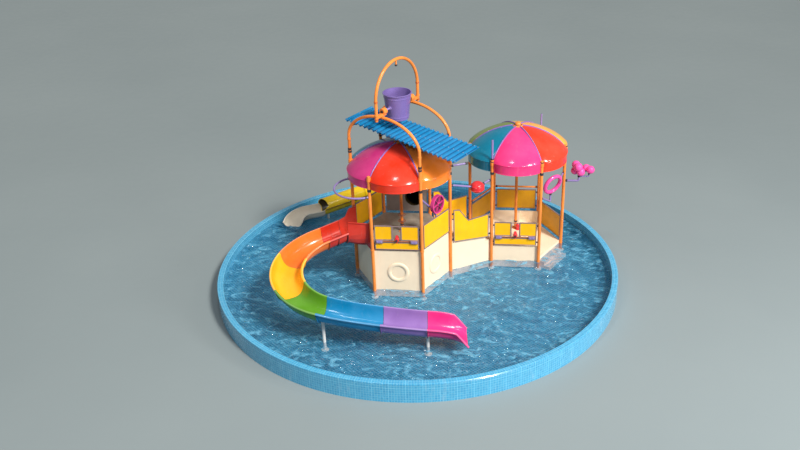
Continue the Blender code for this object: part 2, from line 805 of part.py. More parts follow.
def flume_rings(start, end, flanges):
    """The outlines of one piece of flume, with a flange at the ends that flanges names."""
    stops = [(start, flanges[0]), (start + FLANGE_LENGTH, flanges[0])]
    stops.append((start + FLANGE_LENGTH + 0.002, False))
    finish = end - FLANGE_LENGTH if flanges[1] else end
    count = max(1, round((finish - start - FLANGE_LENGTH) / FLUME_STEP))
    for step in range(1, count):
        stops.append((start + FLANGE_LENGTH + (finish - start - FLANGE_LENGTH) * step / count, False))
    if flanges[1]:
        stops += [(finish - 0.002, False), (finish, True)]
    stops.append((end, flanges[1]))
    rings = []
    for s, flanged in stops:
        flange = FLUME_FLANGE if flanged else 0.0
        ring, half_ring = trough_ring(FLUME_HALF, FLUME_DEPTH, FLUME_LIP, FLUME_SHELL, flume_wall(s),
                                      flange)
        place, angle = FLUME.at(s)
        rings.append(set_ring(ring, place, angle, flume_rim(s)))
    return rings, half_ring


def build_flume():
    colours = (RED, ORANGE, YELLOW, GREEN, BLUE, PURPLE, PINK)
    names = ("red", "orange", "yellow", "green", "blue", "purple", "pink")
    starts = (FLUME_START,) + FLUME_SEAMS[:-1]
    for name, colour, start, end in zip(names, colours, starts, FLUME_SEAMS):
        last = end == FLUME_SEAMS[-1]
        rings, half_ring = flume_rings(start + SEAT, end, (True, not last))
        add_part(f"flume_{name}", loft_mesh(rings, half_ring), colour, smooth=True, roughness=0.15)
    build_slide_entry()
    for number, s in enumerate(SUPPORT_SEAMS, start=1):
        place, _ = FLUME.at(s)
        under = FLUME_DEPTH + FLUME_SHELL + FLUME_FLANGE + SEAT
        top = flume_rim(s + SEAT + FLANGE_LENGTH) - under
        profile = post_profile(FLOOR_TOP, top, SUPPORT_RADIUS)
        add_turned(f"flume_support_{number}", profile, WHITE, (*place, 0))


def hood_ring(s, flange=0.0):
    """The outline of the flume's head: tall sides that narrow from the posts to the first seam; the
    right side drops to the flume's lip sooner."""
    share = max(s, 0) / FLUME_START
    half = HOOD_HALF + (FLUME_HALF - HOOD_HALF) * share
    low = MAIN_DECK + HOOD_FLOOR
    low += (flume_rim(FLUME_START) - FLUME_DEPTH - low) * share * share
    depth = flume_rim(s) - low
    height = HOOD_TOP + HOOD_RISE * share - low
    full, cut = HOOD_FAR_END
    far_lift = min(max((cut - s) / (cut - full), 0), 1)
    square = HOOD_SQUARE + (TROUGH_SQUARE - HOOD_SQUARE) * share
    return trough_ring(half, depth, FLUME_LIP, FLUME_SHELL, height, flange, square, far_lift)


def build_slide_entry():
    """A red front between the posts with the head of the flume through it."""
    first, second = MAIN_POSTS[0], MAIN_POSTS[1]
    low = MAIN_DECK + 2 * SEAT
    start, turn, length = post_line(first, second, 0)
    height = HOOD_TOP + FLUME_LIP - low
    outline = [(0, 0), (length, 0), (length, height), (0, height)]
    entry = add_part("slide_entry", plate_mesh(outline, BARRIER_THICK), RED, (*start, low), turn)
    into_entry = (Matrix.Translation((*start, low)) @ turn.to_4x4()).inverted()
    middle, out = FLUME.at(0)
    ring, half_ring = hood_ring(0)
    inner = ring[half_ring + 2:-2]
    opening = bmesh.new()
    rows = []
    for reach in (-0.2, 0.2):
        outline = [(inner[0][0], 1.0)] + inner + [(inner[-1][0], 1.0)]
        points = set_ring(outline, middle + heading(out) * reach, out, flume_rim(0))
        rows.append([opening.verts.new(point) for point in points])
    count = len(rows[0])
    for k in range(count):
        after = (k + 1) % count
        opening.faces.new((rows[0][k], rows[0][after], rows[1][after], rows[1][k]))
    for row in rows:
        opening.faces.new(row)
    hole = new_mesh("hole", opening)
    hole.transform(into_entry)
    combine(entry, hole, "DIFFERENCE")
    rings = []
    for s in (-0.01, 0.12, 0.25, 0.35, 0.45, 0.60, FLUME_START - FLANGE_LENGTH - 0.002):
        rings.append(set_ring(hood_ring(s)[0], middle + heading(out) * s, out, flume_rim(s)))
    for s in (FLUME_START - FLANGE_LENGTH, FLUME_START):
        rings.append(set_ring(hood_ring(s, HOOD_FLANGE)[0], *FLUME.at(s), flume_rim(s)))
    head = loft_mesh(rings, half_ring)
    head.transform(into_entry)
    combine(entry, head, "UNION")


# Closed tube slide at the back

TUBE_MOUTH = TUBE_STRAIGHT + TUBE_BEND * TUBE_BEND_ANGLE + TUBE_RUN
TUBE_START = Vector((MAIN_X + TUBE_ENTRY_X, MAIN_Y + SIDE_AWAY + BARRIER_THICK / 2 + SEAT))
TUBE = Route(TUBE_START, pi / 2).straight(TUBE_STRAIGHT)
TUBE.bend(TUBE_BEND * TUBE_BEND_ANGLE, TUBE_BEND_ANGLE).straight(TUBE_RUN)
TUBE.straight(RUNOUT_STRAIGHT).bend(RUNOUT_BEND * RUNOUT_ANGLE, RUNOUT_ANGLE)


def tube_centre(s):
    share = s / TUBE_MOUTH
    return MAIN_DECK + TUBE_ENTRY_Z + (TUBE_EXIT_Z - MAIN_DECK - TUBE_ENTRY_Z) * share


def tube_circle(s, radius):
    """A circle across the tube's route, plumb at every place."""
    place, angle = TUBE.at(s)
    right = Vector((sin(angle), -cos(angle)))
    circle = []
    for k in range(TUBE_SIDES):
        turn = 2 * pi * k / TUBE_SIDES
        point = place + right * (radius * cos(turn))
        circle.append((*point, tube_centre(s) + radius * sin(turn)))
    return circle


def build_tube_slide():
    bm = bmesh.new()
    count = round(TUBE_MOUTH / TUBE_STEP)
    skins = []
    for radius in (TUBE_RADIUS, TUBE_RADIUS - TUBE_SHELL):
        skins.append([[bm.verts.new(point) for point in tube_circle(TUBE_MOUTH * step / count, radius)]
                      for step in range(count + 1)])
    outer, inner = skins
    pairs = list(zip(outer, outer[1:])) + list(zip(inner, inner[1:]))
    pairs += [(outer[0], inner[0]), (outer[-1], inner[-1])]
    for row, nearby in pairs:
        for k in range(TUBE_SIDES):
            after = (k + 1) % TUBE_SIDES
            bm.faces.new((row[k], row[after], nearby[after], nearby[k]))
    add_part("tube_slide", new_mesh("tube_slide", bm), YELLOW, smooth=True)


def build_runout():
    """The open cream trough that the tube empties into."""
    grip = TUBE_MOUTH - RUNOUT_GRIP
    count = 6
    stops = [grip] + [TUBE_MOUTH + (TUBE.length - TUBE_MOUTH) * step / count for step in range(count + 1)]
    rings = []
    for s in stops:
        share = max(0, (s - TUBE_MOUTH) / (TUBE.length - TUBE_MOUTH))
        height = RUNOUT_DEPTH * (1 - RUNOUT_CUT * share ** 4)
        rim = tube_centre(s) if share == 0 else TUBE_EXIT_Z - RUNOUT_FALL * share
        ring, half_ring = trough_ring(RUNOUT_HALF, RUNOUT_DEPTH, RUNOUT_LIP, TUBE_SHELL, height)
        rings.append(set_ring(ring, *TUBE.at(s), rim))
    add_part("tube_runout", loft_mesh(rings, half_ring), CREAM, smooth=True)


def build_tube_supports():
    for number, s in enumerate(TUBE_SUPPORTS, start=1):
        place, _ = TUBE.at(s)
        fall = (tube_centre(s - SUPPORT_RADIUS) - tube_centre(s + SUPPORT_RADIUS)) / 2
        top = tube_centre(s) - TUBE_RADIUS - fall - SEAT
        profile = post_profile(FLOOR_TOP, top, SUPPORT_RADIUS)
        add_turned(f"tube_support_{number}", profile, WHITE, (*place, 0))


def build_tube_barrier(name, first, second):
    """The back panel with the mouth of the tube slide."""
    barrier = build_barrier(name, first, second, MAIN_DECK)
    x = abs(barrier.location.x - TUBE_START.x)
    y = tube_centre(0) - barrier.location.z
    half = BARRIER_THICK / 2
    ring = rod_mesh((x, y, -half), (x, y, half), TUBE_RADIUS + TUBE_COLLAR, 24)
    combine(barrier, ring, "UNION")
    bore = rod_mesh((x, y, -0.2), (x, y, 0.2), TUBE_RADIUS - TUBE_SHELL, TUBE_SIDES)
    combine(barrier, bore, "DIFFERENCE")


# Arches over the main tower

def arch_points(half, foot, spring, top, steps=16):
    """A level-sided arch in its own plane: x across and z up."""
    points = [(-half, foot), (-half, (foot + spring) / 2)]
    for step in range(steps + 1):
        turn = pi - pi * step / steps
        points.append((half * cos(turn), spring + (top - spring) * sin(turn)))
    return points + [(half, (foot + spring) / 2), (half, foot)]


def roof_height(x):
    """The middle of the roof's sheet, x metres down its slope from the main tower's axis."""
    share = (x - ROOF_LEFT) / (ROOF_RIGHT - ROOF_LEFT)
    return ROOF_HIGH + (ROOF_LOW - ROOF_HIGH) * share


def arch_meets_roof(side):
    """Where an arch passes the roof's level, on one side of its top."""
    inside, outside = 0.0, side * SIDE_AWAY * 0.999
    for _ in range(40):
        middle = (inside + outside) / 2
        height = ARCH_SPRING + (ARCH_TOP - ARCH_SPRING) * sqrt(1 - (middle / SIDE_AWAY) ** 2)
        if height > roof_height(middle):
            inside = middle
        else:
            outside = middle
    return inside


def build_arch(name, side):
    """side is -1 for the arch in front of the roof and 1 for the one behind it."""
    turn = Matrix.Rotation(ACROSS, 3, "Z")
    place = MAIN + heading(ACROSS + pi / 2) * SIDE_HALF * side
    points = arch_points(SIDE_AWAY, ARCH_FOOT + SEAT, ARCH_SPRING, ARCH_TOP)
    pipe = pipe_mesh([(x, 0, z) for x, z in points], ARCH_RADIUS)
    arch = add_part(name, pipe, ORANGE, (*place, 0), turn, smooth=True)
    reach = -side * (SIDE_HALF - ROOF_HALF - SEAT)
    for x in (arch_meets_roof(-1), arch_meets_roof(1)):
        z = roof_height(x)
        combine(arch, rod_mesh((x, 0, z), (x, reach, z), LUG_RADIUS, 8), "UNION")


def build_bucket_hoop():
    """The upper arch, its brackets on the lower arches and the bucket's bearings."""
    turn = Matrix.Rotation(ACROSS + pi / 2, 3, "Z")
    foot = ARCH_TOP - 0.05
    top = HOOP_SPRING + HOOP_HALF
    points = arch_points(HOOP_HALF, foot, HOOP_SPRING, top)
    pipe = pipe_mesh([(x, 0, z) for x, z in points], ARCH_RADIUS)
    hoop = add_part("bucket_hoop", pipe, ORANGE, (*MAIN, 0), turn, smooth=True)
    seat = ARCH_TOP + ARCH_RADIUS + SEAT
    near = BEARING_Y - BEARING_HALF
    for side in (-1, 1):
        size = (HOOP_HALF - near, 0.12, 0.10)
        middle = (side * (HOOP_HALF + near) / 2, 0, seat + 0.05)
        combine(hoop, box_mesh(size, middle), "UNION")
        bearing = rod_mesh((side * near, 0, BEARING_Z), (side * (BEARING_Y + BEARING_HALF), 0, BEARING_Z),
                           BEARING_RADIUS, 16)
        combine(hoop, bearing, "UNION")
    for side in (-1, 1):
        hole = rod_mesh((side * (near - 0.1), 0, BEARING_Z), (side * (BEARING_Y + 0.05), 0, BEARING_Z),
                        bore_radius(AXLE_RADIUS), AXLE_SIDES)
        combine(hoop, hole, "DIFFERENCE")


def build_roof():
    """A corrugated sheet; its waves run across the slope."""
    run = ROOF_RIGHT - ROOF_LEFT
    fall = atan2(ROOF_HIGH - ROOF_LOW, run)
    length = hypot(run, ROOF_HIGH - ROOF_LOW)
    per_wave = 4
    count = round(length / ROOF_PITCH) * per_wave
    upper = []
    for step in range(count + 1):
        x = length * step / count
        wave = ROOF_WAVE * cos(2 * pi * step / per_wave)
        upper.append((x, wave + ROOF_SHEET / 2))
    lower = [(x, y - ROOF_SHEET) for x, y in upper]
    corner = MAIN + heading(ACROSS) * ROOF_LEFT
    turn = upright(ACROSS) @ Matrix.Rotation(-fall, 3, "Z")
    add_part("splash_roof", plate_mesh(upper + lower[::-1], 2 * ROOF_HALF), BLUE, (*corner, ROOF_HIGH),
             turn)


def build_bucket():
    inner_floor = -BUCKET_BELOW + BUCKET_WALL
    rim = BUCKET_ABOVE
    profile = ((BUCKET_TOP + BUCKET_LIP, rim), (BUCKET_TOP + BUCKET_LIP, rim - 0.03),
               (BUCKET_TOP, rim - 0.03), (BUCKET_BOTTOM, -BUCKET_BELOW), (0, -BUCKET_BELOW),
               (0, inner_floor), (BUCKET_BOTTOM - BUCKET_WALL, inner_floor), (BUCKET_TOP - BUCKET_WALL, rim))
    turn = Matrix.Rotation(ACROSS + pi / 2, 3, "Z")
    outer = (profile[-1],) + profile[:5]
    bucket = add_turned("bucket", outer + profile[5:], PURPLE, (*MAIN, BEARING_Z), 20, turn=turn)
    share = BUCKET_BELOW / (BUCKET_ABOVE - 0.03 + BUCKET_BELOW)
    wall = BUCKET_BOTTOM + (BUCKET_TOP - BUCKET_BOTTOM) * share
    for side in (-1, 1):
        start = side * (wall - BUCKET_WALL / 2)
        axle = rod_mesh((start, 0, 0), (side * BEARING_Y, 0, 0), AXLE_RADIUS, AXLE_SIDES)
        combine(bucket, axle, "UNION")
        boss = rod_mesh((start, 0, 0), (side * (wall + 0.03), 0, 0), 2 * AXLE_RADIUS, 12)
        combine(bucket, boss, "UNION")


# Water toys

def build_water_wheel():
    """A wheel of pockets over the right barrier, on a shaft that its bracket holds."""
    first, second = MAIN_POSTS[2], MAIN_POSTS[3]
    place = first.lerp(second, WHEEL_SHARE)
    wheel_z = MAIN_DECK + WHEEL_ABOVE
    brace_z = [MAIN_DECK + above for above in BRACE_ABOVE]
    turn = upright(ACROSS + pi / 2)
    inner = WHEEL_RADIUS - WHEEL_RIM
    rim = ((WHEEL_RADIUS, WHEEL_HALF), (WHEEL_RADIUS, -WHEEL_HALF), (inner, -WHEEL_HALF),
           (inner, WHEEL_HALF))
    wheel = add_turned("water_wheel", rim, PINK, (*place, wheel_z), 24, closed=True, turn=turn)
    web = rod_mesh((0, 0, -WHEEL_WEB / 2), (0, 0, WHEEL_WEB / 2), inner + WHEEL_RIM / 3, 20)
    combine(wheel, web, "UNION")
    hub_half = WHEEL_HALF + 0.01
    combine(wheel, rod_mesh((0, 0, -hub_half), (0, 0, hub_half), WHEEL_HUB, 16), "UNION")
    for blade in range(WHEEL_BLADES // 2):
        plank = box_mesh((2 * WHEEL_RADIUS - WHEEL_RIM, WHEEL_WEB, 2 * WHEEL_HALF - 0.01))
        plank.transform(Matrix.Rotation(2 * pi * blade / WHEEL_BLADES + 0.1, 4, "Z"))
        combine(wheel, plank, "UNION")
    bore = rod_mesh((0, 0, -0.2), (0, 0, 0.2), bore_radius(SHAFT_RADIUS), AXLE_SIDES)
    combine(wheel, bore, "DIFFERENCE")

    inward = -heading(ACROSS)
    behind = hub_half + WHEEL_END_PLAY + PIPE_RADIUS + WHEEL_STAND
    hub = place + inward * behind
    foot = place + inward * (BARRIER_THICK / 2 + PIPE_RADIUS + SEAT)
    barrier_top = MAIN_DECK + BARRIER_HEIGHT
    path = [(*hub, wheel_z), (*hub, barrier_top + 0.09), (*foot, barrier_top), (*foot, barrier_top - 0.25)]
    bracket = add_part("wheel_bracket", pipe_mesh(path, PIPE_RADIUS), PURPLE, smooth=True)
    front = hub_half + WHEEL_END_PLAY
    shaft_end = place - inward * (front + 0.01)
    combine(bracket, rod_mesh((*hub, wheel_z), (*shaft_end, wheel_z), SHAFT_RADIUS, AXLE_SIDES), "UNION")
    washer_start = place - inward * front
    washer_end = place - inward * (front + 0.03)
    washer = rod_mesh((*washer_start, wheel_z), (*washer_end, wheel_z), 2 * SHAFT_RADIUS, 12)
    combine(bracket, washer, "UNION")
    away = heading(ACROSS + pi / 2 + pi / 3)
    near = first + away * (POST_RADIUS + SEAT)
    brace = [(*near, brace_z[0]), (*(near + away * 0.05), brace_z[0]), (*(hub + inward * 0.02), brace_z[1])]
    combine(bracket, pipe_mesh(brace, BRACE_RADIUS), "UNION")


def build_ball_pipe():
    """A flattened spray ball on a pipe that sags between the two towers, over the bridge."""
    first, second = MAIN_POSTS[3], SECOND_POSTS[0]
    along = (second - first).normalized()
    ball = (*first.lerp(second, BALL_SHARE), BALL_Z)
    start = first + along * (POST_RADIUS + SEAT)
    end = second - along * (POST_RADIUS + SEAT)
    path = [(*start, BALL_PIPE_Z[0]), (*(start + along * 0.04), BALL_PIPE_Z[0]), ball,
            (*(end - along * 0.04), BALL_PIPE_Z[1]), (*end, BALL_PIPE_Z[1])]
    pipe = add_part("ball_pipe", pipe_mesh(path, PIPE_RADIUS), RED, smooth=True)
    globe = ball_mesh(BALL_RADIUS, (0, 0, 0))
    globe.transform(Matrix.Translation(ball) @ Matrix.Diagonal((1, 1, BALL_FLAT, 1)))
    combine(pipe, globe, "UNION")


def build_ring_spray():
    """A standing ring that leans out between the front posts of the second tower."""
    first, second = SECOND_POSTS[1], SECOND_POSTS[2]
    middle = (first + second) / 2
    centre = Vector((*middle, SPRAY_Z))
    level = Vector((*heading(SPRAY_TURN + pi / 2), 0))
    steep = Vector((*(heading(SPRAY_TURN) * sin(SPRAY_LEAN)), cos(SPRAY_LEAN)))
    steps = 22
    points = []
    for step in range(steps):
        turn = 2 * pi * step / steps
        points.append(centre + (level * cos(turn) + steep * sin(turn)) * SPRAY_RING)
    ring = add_part("ring_spray", pipe_mesh(points, SPRAY_TUBE, closed=True), PINK, smooth=True)
    along = (second - first).normalized()
    low_start = first + along * (POST_RADIUS + SEAT)
    bottom = centre - steep * SPRAY_RING
    elbow = (bottom.x, bottom.y, SPRAY_ELBOW)
    holder = [(*low_start, SPRAY_LOWER), (*(low_start + along * 0.05), SPRAY_LOWER), elbow, bottom]
    combine(ring, pipe_mesh(holder, PIPE_RADIUS), "UNION")
    high_start = second - along * (POST_RADIUS + SEAT)
    side = centre + (level * 0.9 + steep * 0.43) * SPRAY_RING
    holder = [(*high_start, SPRAY_UPPER), (*(high_start - along * 0.05), SPRAY_UPPER), side]
    combine(ring, pipe_mesh(holder, PIPE_RADIUS), "UNION")


def build_spray_arm():
    """A short spray pipe at the main tower's right corner."""
    post = MAIN_POSTS[3]
    away = heading(ARM_TURN)
    near = post + away * (POST_RADIUS + SEAT)
    end = near + away * ARM_LENGTH
    arm = add_part("spray_arm", rod_mesh((*near, ARM_Z), (*end, ARM_Z), PIPE_RADIUS), PURPLE, smooth=True)
    combine(arm, rod_mesh((*(end - away * 0.08), ARM_Z), (*(end + away * 0.03), ARM_Z), PIPE_RADIUS + 0.012),
            "UNION")


def flower_balls(x, y, z):
    """Places and sizes of the balls of one flower, round the end of its stem."""
    return [((x - 0.04, y - 0.06, z + 0.32), 0.165), ((x + 0.06, y, z + 0.10), 0.165),
            ((x - 0.12, y + 0.20, z + 0.31), 0.16), ((x - 0.15, y + 0.14, z + 0.09), 0.155)]


def build_flower_spray():
    """Two flowers of balls on a pipe at the second tower's right corner."""
    post = SECOND_POSTS[2]
    start = post.x + POST_RADIUS + SEAT
    stem_x = post.x + FLOWER_STEM
    branch_x = post.x + FLOWER_BRANCH
    stem = [(start, post.y, FLOWER_Z), (stem_x - 0.05, post.y, FLOWER_Z),
            (stem_x, post.y, FLOWER_Z + 0.05), (stem_x, post.y, FLOWER_Z + 0.32)]
    spray = add_part("flower_spray", pipe_mesh(stem, PIPE_RADIUS + 0.005), PURPLE, smooth=True)
    branch = [(stem_x, post.y, FLOWER_Z + 0.19), (branch_x - 0.05, post.y, FLOWER_Z + 0.19),
              (branch_x, post.y, FLOWER_Z + 0.24), (branch_x, post.y, FLOWER_Z + 0.42)]
    combine(spray, pipe_mesh(branch, PIPE_RADIUS - 0.01), "UNION")
    balls = flower_balls(stem_x, post.y, FLOWER_Z + 0.27)
    balls += [((branch_x + 0.05, post.y - 0.03, FLOWER_Z + 0.48), 0.155),
              ((branch_x - 0.10, post.y + 0.15, FLOWER_Z + 0.47), 0.15)]
    for place, radius in balls:
        combine(spray, ball_mesh(radius, place, 12, 8), "UNION")


def build_half_ring():
    """The spray pipe that rings the slide's front, from post to post."""
    first, second = MAIN_POSTS[0], MAIN_POSTS[1]
    middle = (first + second) / 2
    along = (second - first).normalized()
    out = heading(radians(-150))
    near = POST_RADIUS + SEAT
    steps = 14
    points = []
    for step in range(steps + 1):
        turn = pi * step / steps
        place = middle - along * (SIDE_HALF * cos(turn)) + out * (near + (RING_PIPE_RADIUS - near) * sin(turn))
        points.append((*place, RING_PIPE_Z))
    add_part("half_ring_pipe", pipe_mesh(points, PIPE_RADIUS), PURPLE, smooth=True)


build_pool()
build_posts()
build_tower_bases()
build_bridge_base()
build_entry_steps()
build_barriers()
build_dome("main_dome", MAIN, MAIN_SPRING, MAIN_BAND, PINK)
build_dome("second_dome", SECOND, SECOND_SPRING, SECOND_BAND, TEAL)
build_flume()
build_tube_slide()
build_runout()
build_tube_supports()
build_arch("arch_front", -1)
build_arch("arch_rear", 1)
build_bucket_hoop()
build_roof()
build_bucket()
build_water_wheel()
build_ball_pipe()
build_ring_spray()
build_spray_arm()
build_flower_spray()
build_half_ring()
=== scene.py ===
from math import atan2, cos, hypot, pi, radians, sin, sqrt

import bmesh
import bpy
from mathutils import Matrix, Vector, noise


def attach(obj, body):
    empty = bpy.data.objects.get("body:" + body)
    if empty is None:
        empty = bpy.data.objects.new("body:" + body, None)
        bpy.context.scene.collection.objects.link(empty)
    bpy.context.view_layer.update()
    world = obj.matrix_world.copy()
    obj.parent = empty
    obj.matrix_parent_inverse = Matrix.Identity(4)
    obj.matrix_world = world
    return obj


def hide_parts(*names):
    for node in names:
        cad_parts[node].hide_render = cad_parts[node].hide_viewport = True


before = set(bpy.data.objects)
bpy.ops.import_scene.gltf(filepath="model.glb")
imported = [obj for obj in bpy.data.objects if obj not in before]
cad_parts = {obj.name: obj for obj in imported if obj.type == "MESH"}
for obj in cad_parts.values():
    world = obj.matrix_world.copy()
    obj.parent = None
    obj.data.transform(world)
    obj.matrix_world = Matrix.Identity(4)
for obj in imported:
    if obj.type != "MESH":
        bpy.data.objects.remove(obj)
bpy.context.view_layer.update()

# Places and sizes, the same as the solids'
SEAT = 0.0003
POOL_RADIUS = 7.5
POOL_INNER = 7.28
POOL_HEIGHT = 0.72
FLOOR_TOP = 0.11 + SEAT
WATER_Z = 0.42
POST_CIRCLE = 1.8
BRIDGE_ANGLE = radians(30)
BRIDGE_LENGTH = 1.73
ACROSS = BRIDGE_ANGLE - pi / 3
SIDE_HALF = POST_CIRCLE / 2
SIDE_AWAY = POST_CIRCLE * cos(pi / 6)
POST_RADIUS = 0.06
POST_SEAT = POST_RADIUS + SEAT
PLATE_RADIUS = 0.13
PLATE_THICK = 0.025
COLUMN_RADIUS = 0.055
SUPPORT_RADIUS = 0.055
MAIN_DECK = 2.07
SECOND_DECK = 1.06
BRIDGE_DECK = 1.56
LANDING = 0.54
BARRIER_CLEAR = 0.08
BARRIER_THICK = 0.045
BARRIER_GAP = 0.045
BARRIER_TOP = 1.04
BACK_BARRIER_TOP = 0.94
RAIL_Z = 2.12
STRIP_HEIGHT = 0.30
NOTCH_WIDTH = 0.32
SILL = 0.39
MAIN_SPRING = 4.85
SECOND_SPRING = 4.55
MAIN_BAND = 0.30
SECOND_BAND = 0.36
DOME_RISE = 0.86
DOME_VALLEY = POST_CIRCLE - POST_RADIUS + 0.02
DOME_BULGE = 0.19
DOME_SHELL = 0.012
DOME_TUCK = 0.02
ARCH_RADIUS = 0.055
ARCH_FOOT = 5.34
ARCH_SPRING = 5.90
ARCH_TOP = 6.90
HOOP_HALF = 1.20
HOOP_SPRING = 7.53
BEARING_Z = 7.10
BEARING_Y = 0.80
ROOF_LEFT = -1.81
ROOF_RIGHT = 2.93
ROOF_HIGH = 6.40
ROOF_LOW = 5.835
ROOF_HALF = 0.77
ROOF_WAVE = 0.030
ROOF_PITCH = 0.20
ROOF_SHEET = 0.005
PIPE = 0.035
RISER_TOPS = {1: 5.44, 4: 5.27}
POST_ANGLES = [radians(60 * k - 180) for k in range(6)]
UPWARD = Vector((0, 0, 1))
IDENTITY = Matrix()


def heading(angle):
    return Vector((cos(angle), sin(angle)))


def rightward(angle):
    return Vector((sin(angle), -cos(angle)))


def at_z(place, z):
    return Vector((place.x, place.y, z))


def circle(count):
    return [(cos(2 * pi * k / count), sin(2 * pi * k / count)) for k in range(count)]


def add_object(name, data):
    obj = bpy.data.objects.new(name, data)
    bpy.context.scene.collection.objects.link(obj)
    return obj


MAIN = Vector((-0.49, -0.01))
SECOND = MAIN + heading(BRIDGE_ANGLE) * (2 * SIDE_AWAY + BRIDGE_LENGTH)
MAIN_POSTS = [MAIN + heading(angle) * POST_CIRCLE for angle in POST_ANGLES]
SECOND_POSTS = [SECOND + heading(angle + pi / 3) * POST_CIRCLE for angle in POST_ANGLES]


# Camera: its place and its right, up and back axes, fitted to the photo
CAMERA_PLACE = (3.66591, -30.45185, 18.49449)
CAMERA_AXES = ((0.992217, 0.119484, -0.035051), (-0.024897, 0.466170, 0.884345),
               (0.122005, -0.876590, 0.465516))
camera = add_object("camera", bpy.data.cameras.new("camera"))
camera.data.sensor_width = 36
camera.data.lens = 41.85
camera.matrix_world = Matrix.Translation(CAMERA_PLACE) @ Matrix(CAMERA_AXES).transposed().to_4x4()
bpy.context.scene.camera = camera


# Materials

class Recipe:
    """A material's nodes, with short calls for the usual ones."""

    def __init__(self, name, **settings):
        self.material = bpy.data.materials.new(name)
        self.material.use_nodes = True
        self.tree = self.material.node_tree
        self.shader = self.tree.nodes["Principled BSDF"]
        self.place = self.node("TexCoord").outputs["Object"]
        for socket, value in settings.items():
            self.shader.inputs[socket.replace("_", " ")].default_value = value

    def node(self, kind, inputs=None, **settings):
        node = self.tree.nodes.new(f"ShaderNode{kind}")
        for key, value in settings.items():
            setattr(node, key, value)
        for key, value in (inputs or {}).items():
            self.feed(node.inputs[key], value)
        return node

    def feed(self, socket, value):
        if isinstance(value, bpy.types.NodeSocket):
            self.tree.links.new(value, socket)
        else:
            socket.default_value = value

    def stretch(self, *scale):
        return self.node("Mapping", {"Vector": self.place, "Scale": scale}).outputs["Vector"]

    def noise(self, scale, detail=3.0, roughness=0.5, place=None, distortion=0.0):
        return self.node("TexNoise", {
            "Vector": place or self.place, "Scale": scale, "Detail": detail,
            "Roughness": roughness, "Distortion": distortion}).outputs["Fac"]

    def streaks(self, scale, detail, roughness, distortion=0.0):
        """Noise drawn out along the axis of the smallest scale."""
        return self.noise(1.0, detail, roughness, self.stretch(*scale), distortion)

    def span(self, source, low, high, to_low=0.0, to_high=1.0):
        return self.node("MapRange", {
            "Value": source, "From Min": low, "From Max": high,
            "To Min": to_low, "To Max": to_high}).outputs["Result"]

    def mix(self, share, first, second):
        return self.node("Mix", {0: share, 6: first, 7: second}, data_type="RGBA").outputs[2]

    def lay(self, base, source, low, high, colour, share=1.0):
        """Lay a colour over a base where the source rises from low to high."""
        return self.mix(self.span(source, low, high, 0.0, share), base, colour)

    def math(self, operation, *values):
        return self.node("Math", dict(enumerate(values)), operation=operation).outputs[0]

    def axes(self, place=None):
        return self.node("SeparateXYZ", {0: place or self.place}).outputs

    def vector(self, x, y):
        return self.node("CombineXYZ", {0: x, 1: y}).outputs[0]

    def finish(self, colour, roughness, *bumps):
        """Feed the shader; each bump is (height, strength, depth), the first one lowest."""
        self.feed(self.shader.inputs["Base Color"], colour)
        self.feed(self.shader.inputs["Roughness"], roughness)
        normal = None
        for height, strength, depth in bumps:
            node = self.node("Bump", {"Height": height, "Strength": strength, "Distance": depth})
            if normal is not None:
                self.feed(node.inputs["Normal"], normal)
            normal = node.outputs["Normal"]
        if normal is not None:
            self.feed(self.shader.inputs["Normal"], normal)
        return self.material


def tone(colour, gain):
    return (*(min(channel * gain, 1.0) for channel in colour[:3]), 1.0)


def blend(colour, other, share):
    return (*(a + (b - a) * share for a, b in zip(colour[:3], other[:3])), 1.0)


DUST = (0.55, 0.52, 0.47)
WHITE = (1, 1, 1)
PRIMER = (0.75, 0.72, 0.70)
LIME = (0.55, 0.74, 0.80, 1)
# Dark speckled tones for the main deck's top: painted shade under the dome
DECK_SHADE_DARK, DECK_SHADE_LIGHT = (0.16, 0.14, 0.12, 1), (0.30, 0.27, 0.23, 1)
WATER_DEEP, WATER_PALE = (0.010, 0.14, 0.29, 1), (0.04, 0.28, 0.47, 1)
# Lighter blue and white for the water: painted sheen and painted glints
WATER_CREST_SHEEN, WATER_GLINT = (0.17, 0.50, 0.72, 1), (0.9, 0.96, 1, 1)
STUDIO_DARK, STUDIO_LIGHT = (0.232, 0.276, 0.288, 1), (0.252, 0.297, 0.308, 1)
FADE = 0.10
# Dark tile, light tile and joint
TILE_WALL = ((0.045, 0.30, 0.55), (0.070, 0.38, 0.63), (0.20, 0.53, 0.71))
TILE_FLOOR = ((0.020, 0.17, 0.33), (0.040, 0.23, 0.41), (0.15, 0.43, 0.60))


def gel_coat(name, colour, roughness=0.16, gloss=1.0):
    """Moulded glass fibre: sun-faded patches, fine scuffs, pale water marks and a clear coat."""
    recipe = Recipe(name, Coat_Weight=0.20 * gloss, Coat_Roughness=0.05,
                    Specular_IOR_Level=0.28 * gloss)
    base = recipe.lay(tone(colour, 0.90), recipe.noise(0.9, 5, 0.55), 0.35, 0.68,
                      blend(tone(colour, 1.08), DUST, FADE * 0.5))
    marks = recipe.streaks((9, 9, 0.9), 6, 0.62)
    base = recipe.lay(base, marks, 0.60, 0.78, (*DUST, 1), FADE)
    scuffs = recipe.noise(26, 8, 0.7, recipe.stretch(1, 1.6, 0.7), 1.5)
    base = recipe.lay(base, scuffs, 0.64, 0.72, blend(colour, WHITE, 0.45), 0.10)
    return recipe.finish(base, recipe.span(scuffs, 0.35, 0.75, roughness, roughness + 0.16),
                         (recipe.noise(3.5, 2), 0.10, 0.02), (recipe.noise(160, 2), 0.05, 0.002))


